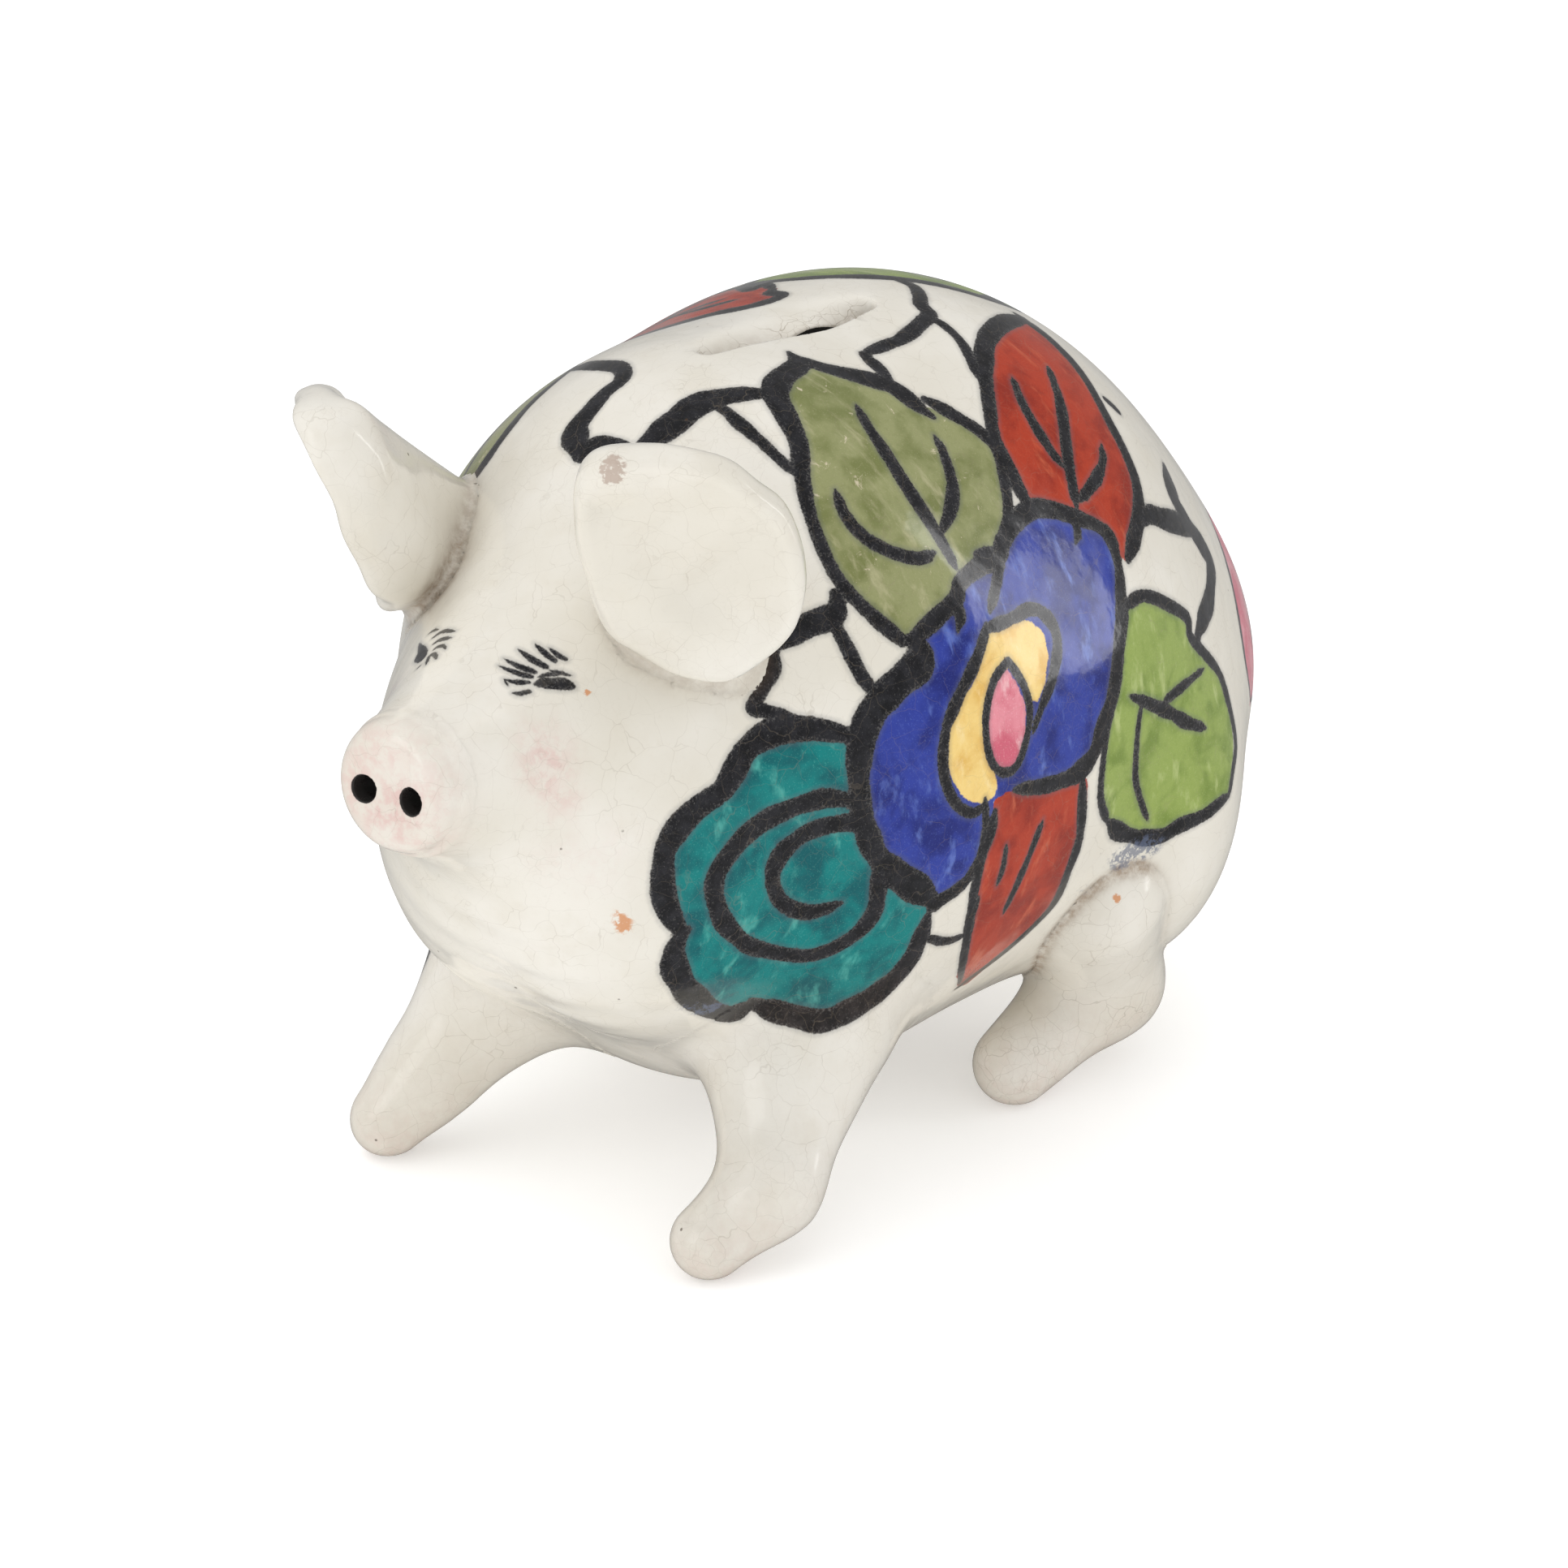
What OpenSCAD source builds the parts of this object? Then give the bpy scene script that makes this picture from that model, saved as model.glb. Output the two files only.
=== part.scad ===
// Hand-painted pottery pig money bank, about 165 mm long.
// Hollow slip-cast body with a coin slot in the back, and separately
// modelled snout, ears, four legs and a curled tail luted onto it.
// The pig faces -Y, its left side is +X, +Z is up, feet stand on z = 0.

/* [Body] */
// half width of the barrel at its widest
barrel_half_width = 48.7; // [44:0.1:54]
// half length of the barrel bulge
barrel_half_length = 50.9; // [46:0.1:56]
// half height of the barrel bulge
barrel_half_height = 51.0; // [46:0.1:55]
// half width across the haunches
rump_half_width = 44.4; // [40:0.1:48]
// half width across the chest
chest_half_width = 43.4; // [39:0.1:47]
// half width of a haunch bulge
haunch_half_width = 17; // [15:0.1:18]
// half width of the head
head_half_width = 22.6; // [20:0.1:27]
// fired clay wall thickness
wall = 4.5; // [3.5:0.1:6]
// softness of the blend between the bulges
blend = 19; // [12:0.5:24]

/* [Coin slot] */
// clear length of the slot
slot_length = 29.5; // [29:0.5:36]
// clear width of the slot
slot_width = 6; // [4.5:0.1:7]
// radius of the rounded glazed lip
slot_lip = 2.4; // [0.5:0.1:3]
// sideways offset of the slot centre
slot_x = 2.2; // [-3:0.1:4]
// lengthwise position of the slot centre
slot_y = -1; // [-8:0.5:10]
// skew of the hand-cut slot in degrees
slot_skew = -13; // [-18:0.5:18]

/* [Snout] */
// radius of the snout disc
snout_radius = 8.4; // [7.5:0.1:8.6]
// thickness of the snout disc
snout_thickness = 4.4; // [3.5:0.1:6]
// upward tilt of the snout in degrees
snout_tilt = 6; // [0:0.5:10]
// nostril diameter
nostril_diameter = 3; // [2.4:0.1:3.6]
// nostril depth
nostril_depth = 3.6; // [2:0.1:4]
// half spacing of the nostrils
nostril_half_spacing = 3.5; // [3:0.1:4.2]

/* [Ears] */
// longer half axis of the oval ear leaf
ear_height = 18.2; // [16:0.1:19]
// shorter half axis of the oval ear leaf
ear_width = 13.8; // [12:0.1:15]
// how far the left ear faces outward, in degrees
left_ear_turn = 28; // [10:1:50]
// how far the right ear faces outward, in degrees
right_ear_turn = 48; // [10:1:60]
// how far the ears hang forward, in degrees
ear_tilt = 20; // [0:1:35]
// half thickness of the ear rim
ear_rim = 2.0; // [1.6:0.1:2.4]
// forward cupping of the ear rim
ear_cup = 3.0; // [0:0.1:4]

/* [Legs] */
// top radius of a foreleg where it leaves the chest
foreleg_root_radius = 12.75; // [11:0.05:14]
// radius of a front foot
front_foot_radius = 5; // [4.6:0.1:6]
// radius of a hind leg where it leaves the haunch
thigh_radius = 10.9; // [9.5:0.1:12]
// radius of a hind foot
hind_foot_radius = 5.7; // [5:0.1:6.5]
// height of the foot centres above the ground
foot_centre_height = 4.5; // [4:0.1:4.8]

/* [Tail] */
// thickness radius of the rolled clay tail
tail_radius = 2.2; // [1.6:0.1:2.8]
// radius of the tail curl
tail_curl = 5.6; // [4:0.1:7]

/* [Hidden] */
stations = 46;
around = 52;
inner_stations = 22;
inner_around = 32;
muzzle_z = 70.4;
muzzle_y = -78.3;
tilt_k = tan(snout_tilt);

// ---- rounded shape of the body as one smooth field (negative inside) ----
function blend_min(a, b, k) =
    let(h = max(k - abs(a - b), 0) / k) min(a, b) - h * h * h * k / 6;
function bulge(p, c, r) =
    let(q = [(p[0]-c[0])/r[0], (p[1]-c[1])/r[1], (p[2]-c[2])/r[2]],
        k0 = norm(q), k1 = norm([q[0]/r[0], q[1]/r[1], q[2]/r[2]]) + 1e-9)
    k0 * (k0 - 1) / k1;
function taper(p, a, b, r1, r2) =
    let(ba = b - a, l2 = ba * ba, rr = r1 - r2, a2 = l2 - rr*rr, il2 = 1/l2,
        pa = p - a, y = pa * ba, z = y - l2,
        w = pa * l2 - ba * y, x2 = w * w, y2 = y*y*l2, z2 = z*z*l2,
        k = sign(rr) * rr * rr * x2)
    (sign(z) * a2 * z2 > k) ? sqrt(x2 + z2) * il2 - r2 :
    (sign(y) * a2 * y2 < k) ? sqrt(x2 + y2) * il2 - r1 :
    (sqrt(x2 * a2 * il2) + y * rr) * il2 - r1;
function field(x, y, z) =
    let(p = [abs(x), y, z],
        f1 = bulge(p, [0, 17, 57], [barrel_half_width, barrel_half_length, barrel_half_height]),
        f2 = blend_min(f1, bulge(p, [0, 43, 47.6], [rump_half_width, 36.2, 36]), blend),
        f3 = blend_min(f2, bulge(p, [0, -14.7, 57.2], [chest_half_width, 37.3, 49.6]), blend),
        f4 = blend_min(f3, bulge(p, [0, -42.6, 61.1], [head_half_width, 26, 28.3]), blend),
        f5 = blend_min(f4, bulge(p, [9.5, -43.6, 52], [15.2, 16.9, 22.3]), blend),
        f6 = blend_min(f5, taper(p, [0, -57.7, 68.1], [0, -75.3, 70.1], 15.4, 9.2), 10))
    blend_min(f6, bulge(p, [34.2, 30.2, 36.8], [haunch_half_width, 17.3, 22.9]), 14);

// centre line the cross-sections are measured from
function spine(y) = lookup(y, [[-95, 70.4], [-70, 70], [-60, 67], [-45, 60], [0, 57], [40, 54], [70, 49.5], [95, 48]]);
function lean(y) = tilt_k * max(0, min(1, (-52 - y) / 22));
function reach(y, k, c, s, zc, level, lo, hi, n) =
    n == 0 ? (lo + hi) / 2 :
    let(m = (lo + hi) / 2)
    field(m*c, y + k*m*s, zc + m*s) < level ?
        reach(y, k, c, s, zc, level, m, hi, n-1) : reach(y, k, c, s, zc, level, lo, m, n-1);
function far_end(lo, hi, level, n) =
    n == 0 ? lo : let(m = (lo+hi)/2) field(0, m, spine(m)) < level ?
        far_end(m, hi, level, n-1) : far_end(lo, m, level, n-1);

function ring(y, level, n) =
    let(zc = spine(y), k = lean(y), h = n/2,
        r = [for (i = [0:h]) let(a = -90 + 180*i/h)
              reach(y, k, cos(a), sin(a), zc, level, 0, 75, 15)])
    [for (i = [0:n-1]) let(j = i <= h ? i : n - i, a = -90 + 360*i/n)
        [r[j]*cos(a), y + k*r[j]*sin(a), zc + r[j]*sin(a)]];

// stack of rings closed at both ends
module ring_solid(y0, y1, level, m, n, front_power) {
    rings = [for (j = [0:m]) let(t = j/m, u = 1 - cos(90 + 90*t),
                 v = front_power ? (1 - cos(180*t))/2 : sin(90*t))
             ring(y0 + (y1 - y0) * min(v, 0.9996), level, n)];
    ends = [[0, y0 + lean(y0)*(spine(y0) - spine(y0)), spine(y0)], [0, y1, spine(y1)]];
    pts = concat([for (r = rings) for (p = r) p], ends);
    e = (m+1)*n;
    faces = concat(
        [for (j = [0:m-1]) for (i = [0:n-1]) let(i2 = (i+1)%n) [j*n+i, j*n+i2, (j+1)*n+i2]],
        [for (j = [0:m-1]) for (i = [0:n-1]) let(i2 = (i+1)%n) [j*n+i, (j+1)*n+i2, (j+1)*n+i]],
        [for (i = [0:n-1]) [(i+1)%n, i, e]],
        [for (i = [0:n-1]) [m*n+i, m*n+(i+1)%n, e+1]]);
    polyhedron(points = pts, faces = faces, convexity = 6);
}

module body_outer() {
    ring_solid(muzzle_y, far_end(40, 95, 0, 24), 0, stations, around, false);
}

module coin_cavity() {
    ring_solid(-56, far_end(40, 95, -wall, 24), -wall, inner_stations, inner_around, true);
}

// slot with a rounded lip, one rounded bar per height step
module slot_cutter() {
    top = 110;
    steps = 9;
    half = slot_length/2 - slot_width/2;
    translate([slot_x, slot_y, 0]) rotate([0, 0, slot_skew]) {
        hull() for (s = [-1, 1]) translate([0, s*half, 94]) cylinder(d = slot_width, h = 20, $fn = 20);
        for (i = [0:steps-1]) {
            z0 = 107.6 - slot_lip - 0.2 + (slot_lip + 0.2)*i/steps;
            z1 = 107.6 - slot_lip - 0.2 + (slot_lip + 0.2)*(i+1)/steps;
            g0 = slot_lip*(1 - cos(90*i/steps));
            g1 = slot_lip*(1 - cos(90*(i+1)/steps));
            hull() for (s = [-1, 1]) translate([0, s*half, z0])
                cylinder(r1 = slot_width/2 + g0, r2 = slot_width/2 + g1, h = z1 - z0 + (i == steps-1 ? 3 : 0.001), $fn = 20);
        }
    }
}

module body_shell() {
    color([0.90, 0.88, 0.82])
    difference() {
        body_outer();
        coin_cavity();
        slot_cutter();
    }
}

// ---- snout disc with two nostrils, sits flat on the muzzle ----
module snout() {
    color([0.92, 0.80, 0.76])
    translate([0, muzzle_y + tilt_k*(muzzle_z - spine(muzzle_y)), muzzle_z])
    rotate([90 - snout_tilt, 0, 0])
    difference() {
        rotate_extrude($fn = 48)
            polygon(concat([[0, 0], [snout_radius - 0.5, 0], [snout_radius, 0.6]],
                [for (a = [0:15:90]) [snout_radius - 1.6 + 1.6*cos(a), snout_thickness - 1.6 + 1.6*sin(a)]],
                [[0, snout_thickness]]));
        for (s = [-1, 1]) translate([s*nostril_half_spacing, -0.2, snout_thickness - nostril_depth])
            cylinder(d = nostril_diameter, h = 6, $fn = 24);
    }
}

// ---- ears: cupped oval leaves, the right one turned further outward ----
function unit(v) = v / norm(v);
function ear_w(turn) = [sin(turn)*cos(ear_tilt), -cos(turn)*cos(ear_tilt), -sin(ear_tilt)];
function ear_v(w) = unit([0, 0, 1] - w[2]*w);
function ear_u(w) = cross(ear_v(w), w);
function ear_point(c, w, u, v, d) = c + ear_u(w)*u + ear_v(w)*v + w*d;
// the oval leans 20 degrees towards the crown
function ear_edge(a) = 1/sqrt(pow(cos(a - 110)/ear_height, 2) + pow(sin(a - 110)/ear_width, 2)) - ear_rim;
module ball(p, r, n) { translate(p) sphere(r = r, $fn = n); }

module ear_leaf(c, w, s) {
    steps = 16;
    for (i = [0:steps-1]) {
        a0 = 360*i/steps;
        a1 = 360*(i+1)/steps;
        hull() {
            ball(ear_point(c, w, 0, 0, -1.2), ear_rim + 0.7, 12);
            for (a = [a0, a1])
                ball(ear_point(c, w, s*ear_edge(a)*cos(a), s*ear_edge(a)*sin(a), ear_cup - 2), ear_rim, 12);
        }
    }
}
// thick root from the back of the leaf, between two angles of its edge, to the head
module ear_root(c, w, s, a_first, a_last, inset, back, heads, r1, r2) {
    n = len(heads) - 1;
    for (k = [0:n-1]) hull() for (j = [k, k+1]) {
        a = a_first + (a_last - a_first)*j/n;
        e = s*(ear_edge(a) + ear_rim - inset);
        ball(ear_point(c, w, e*cos(a), e*sin(a), -back), r1, 12);
        ball(heads[j], r2, 12);
    }
}
left_ear_centre = [24.7, -54.4, 96.8];
right_ear_centre = [26.5, -53, 94];
module left_ear() {
    w = ear_w(left_ear_turn);
    color([0.91, 0.87, 0.81])
    difference() {
        union() {
            ear_leaf(left_ear_centre, w, 1);
            ear_root(left_ear_centre, w, 1, 204, 288, 3.4, 1.4,
                [[12, -47, 84.5], [13.5, -46.8, 83], [15.5, -46, 81], [18.5, -44.3, 79.5], [22, -41.5, 78.5]], 3, 4.2);
        }
        body_outer();
    }
}
module right_ear() {
    w = ear_w(right_ear_turn);
    color([0.91, 0.87, 0.81])
    difference() {
        mirror([1, 0, 0]) {
            ear_leaf(right_ear_centre, w, 0.92);
            ear_root(right_ear_centre, w, 0.92, 118, 270, 5.2, 2.2,
                [[27.5, -30, 86.5], [27.2, -33, 84], [26.5, -36, 81.5], [25.5, -38.8, 78.5], [24, -41, 75.5]], 3.4, 5);
        }
        body_outer();
    }
}

// ---- legs: tapering rolls of clay bent through three points ----
function bend(a, b, c, t) = a*(1-t)*(1-t) + b*2*t*(1-t) + c*t*t;
module limb(a, b, c, r0, r1, r2, steps, n) {
    intersection() {
        for (i = [0:steps-1]) {
            t0 = i/steps;
            t1 = (i+1)/steps;
            hull() {
                ball(bend(a, b, c, t0), r0*(1-t0)*(1-t0) + r1*2*t0*(1-t0) + r2*t0*t0, n);
                ball(bend(a, b, c, t1), r0*(1-t1)*(1-t1) + r1*2*t1*(1-t1) + r2*t1*t1, n);
            }
        }
        translate([-70, -100, 0]) cube([140, 200, 90]);
    }
}
module foreleg_roll(x0, y0, x1, y1, x2, y2) {
    limb([x0, y0, 24.9], [x1, y1, 8], [x2, y2, foot_centre_height],
         foreleg_root_radius, 5.6, front_foot_radius, 9, 22);
}
module hind_roll() {
    limb([38.4, 17.5, 29.8], [35.8, 36, 6.5], [32.6, 9.5, foot_centre_height + 0.6],
         thigh_radius, 6.6, hind_foot_radius, 9, 22);
}
module left_foreleg() {
    color([0.90, 0.86, 0.80])
    difference() { foreleg_roll(22.2, -28.7, 30.6, -46, 25.5, -52.9); body_outer(); }
}
module right_foreleg() {
    color([0.90, 0.86, 0.80])
    difference() { foreleg_roll(-18.7, -30.3, -26, -45.5, -28.7, -49.8); body_outer(); }
}
module left_hind_leg() {
    color([0.89, 0.85, 0.79])
    difference() { hind_roll(); body_outer(); }
}
module right_hind_leg() {
    color([0.89, 0.85, 0.79])
    difference() { mirror([1, 0, 0]) hind_roll(); body_outer(); }
}

// ---- tail: a short roll of clay curled flat against the rump ----
function rump_y(x, z, lo, hi, n) =
    n == 0 ? lo : let(m = (lo+hi)/2) field(x, m, z) < 0 ? rump_y(x, z, m, hi, n-1) : rump_y(x, z, lo, m, n-1);
function tail_point(t) =
    let(a = 100 - 400*t, r = tail_curl*(1 - 0.45*t), x = r*cos(a), z = 62 + r*sin(a))
    [x, rump_y(x, z, 30, 95, 16) + 0.6*tail_radius, z];
module tail() {
    steps = 15;
    color([0.91, 0.87, 0.81])
    difference() {
        for (i = [0:steps-1]) hull() {
            ball(tail_point(i/steps), tail_radius*(1 - 0.35*i/steps), 12);
            ball(tail_point((i+1)/steps), tail_radius*(1 - 0.35*(i+1)/steps), 12);
        }
        body_outer();
    }
}

body_shell();
snout();
left_ear();
right_ear();
left_foreleg();
right_foreleg();
left_hind_leg();
right_hind_leg();
tail();
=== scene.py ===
import math
import time
import bpy
import numpy as np
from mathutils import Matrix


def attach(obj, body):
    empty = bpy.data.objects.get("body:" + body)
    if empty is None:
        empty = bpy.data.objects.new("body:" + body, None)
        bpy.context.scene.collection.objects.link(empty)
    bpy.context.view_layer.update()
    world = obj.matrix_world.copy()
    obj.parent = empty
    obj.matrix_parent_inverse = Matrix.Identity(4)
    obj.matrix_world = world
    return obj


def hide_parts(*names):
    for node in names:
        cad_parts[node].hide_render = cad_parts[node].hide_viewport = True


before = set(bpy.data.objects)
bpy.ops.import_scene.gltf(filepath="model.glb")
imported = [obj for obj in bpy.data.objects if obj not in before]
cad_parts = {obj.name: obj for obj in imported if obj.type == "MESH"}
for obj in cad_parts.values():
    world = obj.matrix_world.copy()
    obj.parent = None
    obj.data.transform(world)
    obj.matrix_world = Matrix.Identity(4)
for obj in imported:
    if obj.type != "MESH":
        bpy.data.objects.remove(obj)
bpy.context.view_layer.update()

MM = 0.001
rng = np.random.default_rng(7)

# ------------------------------------------------------------------ shape
# The body is one smooth field in millimetres, negative inside, the same
# bulges as the CAD body; the limbs are blended onto it.
F32 = np.float32


def smin(a, b, k):
    h = np.maximum(k - np.abs(a - b), 0) / k
    return np.minimum(a, b) - h * h * h * k / 6


def smax(a, b, k):
    return -smin(-a, -b, k)


def bulge(p, c, r):
    c = np.asarray(c, F32)
    r = np.asarray(r, F32)
    q = (p - c) / r
    k0 = np.sqrt((q * q).sum(-1))
    q = q / r
    k1 = np.sqrt((q * q).sum(-1)) + 1e-9
    return k0 * (k0 - 1) / k1


def taper(p, a, b, r1, r2):
    a = np.asarray(a, F32)
    b = np.asarray(b, F32)
    ba = b - a
    l2 = float(ba @ ba)
    rr = r1 - r2
    a2 = max(l2 - rr * rr, 1e-6)
    il2 = 1 / l2
    pa = p - a
    y = pa @ ba
    z = y - l2
    x = pa * l2 - y[..., None] * ba
    x2 = (x * x).sum(-1)
    y2 = y * y * l2
    z2 = z * z * l2
    k = np.sign(rr) * rr * rr * x2
    d1 = np.sqrt(x2 + z2) * il2 - r2
    d2 = np.sqrt(x2 + y2) * il2 - r1
    d3 = (np.sqrt(x2 * a2 * il2) + y * rr) * il2 - r1
    return np.where(np.sign(z) * a2 * z2 > k, d1, np.where(np.sign(y) * a2 * y2 < k, d2, d3))


def capsule(p, a, b, r):
    a = np.asarray(a, F32)
    ba = np.asarray(b, F32) - a
    pa = p - a
    t = np.clip((pa @ ba) / float(ba @ ba), 0, 1)
    d = pa - t[..., None] * ba
    return np.sqrt((d * d).sum(-1)) - r


TILT = math.radians(6)
MUZ_Y, MUZ_Z = -78.3, 70.4
AX = np.array([0, -math.cos(TILT), math.sin(TILT)], F32)      # snout axis
MUZ = np.array([0, MUZ_Y, MUZ_Z], F32)


def body_raw(p):
    q = p.copy()
    q[..., 0] = np.sqrt(q[..., 0] ** 2 + 0.3)
    f = bulge(q, (0, 17, 57), (48.7, 50.9, 51.0))
    f = smin(f, bulge(q, (0, 43, 47.6), (44.4, 36.2, 36)), 19)
    f = smin(f, bulge(q, (0, -14.7, 57.2), (43.4, 37.3, 49.6)), 19)
    f = smin(f, bulge(q, (0, -42.6, 61.1), (22.6, 26, 28.3)), 19)
    f = smin(f, bulge(q, (9.5, -43.6, 52), (15.2, 16.9, 22.3)), 19)
    f = smin(f, taper(q, (0, -57.7, 68.1), (0, -75.3, 70.1), 15.4, 9.2), 10)
    return smin(f, bulge(q, (34.2, 30.2, 36.8), (17, 17.3, 22.9)), 14)


def body_f(p):
    f = body_raw(p)
    g = p - np.array([3.0, -58.0, 44.0], F32)
    d = g @ np.array([0.25, -0.62, 0.74], F32)
    f = f + 0.22 * np.cos(d * 1.05) * np.exp(-((g * np.array([0.07, 0.085, 0.075], F32)) ** 2).sum(-1))
    return smax(f, (p - MUZ) @ AX, 0.8)


SLOT_C = np.array([2.2, -1.0], F32)
SLOT_A = math.radians(13)
SLOT_D = np.array([math.sin(SLOT_A), math.cos(SLOT_A)], F32)


def slot_f(p, f):
    """The slot: a sharp near lip, and a far wall that slopes in; f is the depth field of the body."""
    q = p[..., :2] - SLOT_C
    t = q @ SLOT_D
    n = q[..., 1] * SLOT_D[0] - q[..., 0] * SLOT_D[1]
    e = np.sqrt(np.clip(1 - (t / 15.4) ** 2, 0, 1))
    g = np.exp(-((t - 4.4) / 5.8) ** 2)
    d = 3.0 - 1.9 * g
    near = -n - 1.3 - 1.6 * e - 0.8 * g
    far = (n + 0.4 - 0.4 * e - 3.7 * e * np.clip((f + d) / d, 0, 1.25)) / np.sqrt(1 + (3.7 * e / d) ** 2)
    s = smax(smax(near, far, 0.5), np.abs(t) - 14.9, 2.0)
    return np.maximum(s, 88 - p[..., 2]), n, d, t


def shell_f(p):
    f = body_f(p)
    cav = np.maximum(f + 4.5, -56 - p[..., 1])
    g = smax(f, -cav, 1.0)
    s, n = slot_f(p, f)[:2]
    return smax(g, -s, 0.7 + 1.5 * np.clip((n + 2) / 3, 0, 1))


# ears: round cupped leaves, each in its own frame, on thick roots
def ear_axes(turn, tilt):
    a, e = math.radians(turn), math.radians(tilt)
    w = np.array([math.sin(a) * math.cos(e), -math.cos(a) * math.cos(e), -math.sin(e)])
    v = np.array([0, 0, 1.0]) - w[2] * w
    v /= np.linalg.norm(v)
    return np.cross(v, w), v, w


EAR_OUT = np.array([(-12.7, 13.3), (-10.6, 16.4), (-7.1, 16.9), (-1.9, 16.8), (3.7, 16.0), (8.3, 12.5), (12.1, 7.2),
                    (13.6, 0.9), (12.9, -6.1), (10.5, -11.5), (7.4, -14.3), (3.4, -17.2), (-1.5, -16.5), (-5.9, -14.4),
                    (-10.1, -10.9), (-11.6, -6.7), (-12.2, -1.5), (-12.9, 7.6)])
_t = np.arctan2(EAR_OUT[:, 1], EAR_OUT[:, 0])
_o = np.argsort(_t)
EAR_A = np.linspace(-math.pi, math.pi, 145)[:-1]
EAR_R = np.interp(EAR_A, _t[_o], np.hypot(EAR_OUT[:, 0], EAR_OUT[:, 1])[_o], period=2 * math.pi)
for _ in range(14):
    EAR_R = (np.roll(EAR_R, 1) + 2 * EAR_R + np.roll(EAR_R, -1)) / 4


def ear_roots(side, U, V, W, C, size):
    out = []
    for k in range(7):
        a = math.radians((204 + 84 * k / 6) if side > 0 else (118 + 152 * k / 6))
        R = (float(np.interp(math.atan2(math.sin(a), math.cos(a)), EAR_A, EAR_R, period=2 * math.pi)) - (5.2 if side > 0 else 5.6)) * size
        e = C + U * (R * math.cos(a)) + V * (R * math.sin(a)) - W * (1.4 if side > 0 else 2.2)
        if side > 0:
            h = np.array([(12, -47, 84.5), (13, -47, 83.5), (14, -46.5, 82.5), (15.5, -46, 81), (17.5, -45, 80), (19.5, -43.5, 79), (22, -41.5, 78.5)][k])
            out.append((e, h, 2.8, 2.8))
        else:
            h = np.array([(27, -32, 84.5), (27, -33, 84), (27, -34.5, 83), (26.5, -36, 81.5), (26, -38, 79.5), (25, -39.5, 77.5), (24, -41, 75.5)][k])
            out.append((e, h, 3.2, 3.6))
    return out


EARS = {}
for _s, _turn, _C, _size in ((1, 28, (24.67, -54.44, 96.75), 1.0), (-1, 48, (26.5, -53.0, 94.0), 0.92)):
    _U, _V, _W = ear_axes(_turn, 20)
    _C = np.array(_C)
    EARS[_s] = (_U.astype(F32), _V.astype(F32), _W.astype(F32), _C.astype(F32), _size, ear_roots(_s, _U, _V, _W, _C, _size))


def ear_f(p, side):
    U, V, W, C, size, roots = EARS[side]
    q = p.copy()
    q[..., 0] = q[..., 0] * side
    g = q - C
    u = (g @ U) / size
    v = (g @ V) / size
    w = g @ W
    rho = np.sqrt(u * u + v * v)
    R = np.interp(np.arctan2(v, u), EAR_A, EAR_R, period=2 * math.pi)
    t = np.clip(rho / R, 0, 1.3)
    inner = np.clip((-u * 0.9 + 2 - v * 0.1) / 14, 0, 1)
    inner = inner * inner * (3 - 2 * inner)
    rim = 2.1 + 0.6 * inner
    mid = -2.0 + 3.1 * t ** 2.6 - 0.7 * inner * t ** 2 + 0.6 * np.sin(u * 0.31 + 0.8) * np.sin(v * 0.27 - 0.6) + 0.22 * np.sin(u * 0.62 - v * 0.5 + 2)
    half = rim + 0.4 + 0.6 * (1 - t)
    dx = rho - (R - rim)
    dz = np.abs(w - mid) - (half - rim)
    f = np.minimum(np.maximum(dx, dz), 0) + np.sqrt(np.maximum(dx, 0) ** 2 + np.maximum(dz, 0) ** 2) - rim
    if side > 0:                                   # small pinched tip at the top of the leaf
        f = f * 0.85 - 0.9 * np.exp(-((u + 7.5) / 3.2) ** 2 - ((v - 12.5) / 3.6) ** 2 - ((w - 1.0) / 4.0) ** 2)
    root = None
    for e, h, r1, r2 in roots:
        c = taper(q, e, h, r1, r2)
        root = c if root is None else smin(root, c, 5.0)
    return smin(f, root, 4.0)


def limb_f(p, pts, k=8):
    f = taper(p, pts[0][:3], pts[1][:3], pts[0][3], pts[1][3])
    return smin(f, taper(p, pts[1][:3], pts[2][:3], pts[1][3], pts[2][3]), k)


LF = [(22.2, -28.7, 24.9, 12.75), (29.4, -44.7, 9.9, 5.4), (25.5, -52.9, 4.7, 5.0)]
RF = [(-18.7, -30.3, 24.9, 12.75), (-25.9, -44.5, 9.9, 5.4), (-28.7, -49.8, 4.7, 5.0)]
LH = [(38.4, 17.5, 29.8, 10.9), (35.4, 28.0, 11.5, 7.4), (32.6, 9.55, 5.3, 5.7)]
RH = [(-x, y, z, r) for x, y, z, r in LH]


def floor_cut(f, p):
    return smax(f, -p[..., 2], 1.2)


def skin_f(p):
    """The body with the four legs blended onto it, as the painter saw it."""
    b = body_f(p)
    f = b.copy()
    low = np.where((p[:, 2] < 64) & (b < 30))[0]
    q, bl = p[low], b[low]
    g = smin(bl, limb_f(q, LF), 9.2)
    g = np.minimum(g, smin(bl, limb_f(q, RF), 9.2))
    g = np.minimum(g, smin(bl, limb_f(q, LH), 1.8))
    g = np.minimum(g, smin(bl, limb_f(q, RH), 1.8))
    f[low] = g
    return f


def snout_f(p):
    q = p - MUZ - np.array([0, 0, 0.4], F32)
    s = q @ AX
    rad = np.sqrt(np.maximum((q * q).sum(-1) - s * s, 0))
    r = 2.7
    dx = rad - (8.25 - r)
    dz = np.abs(s - 1.2) - (3.0 - r)
    f = np.minimum(np.maximum(dx, dz), 0) + np.sqrt(np.maximum(dx, 0) ** 2 + np.maximum(dz, 0) ** 2) - r
    f = f + 0.55 * np.exp(-(rad / 4.6) ** 2) * (s > 1.0)          # slightly dished face
    return f


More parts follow.
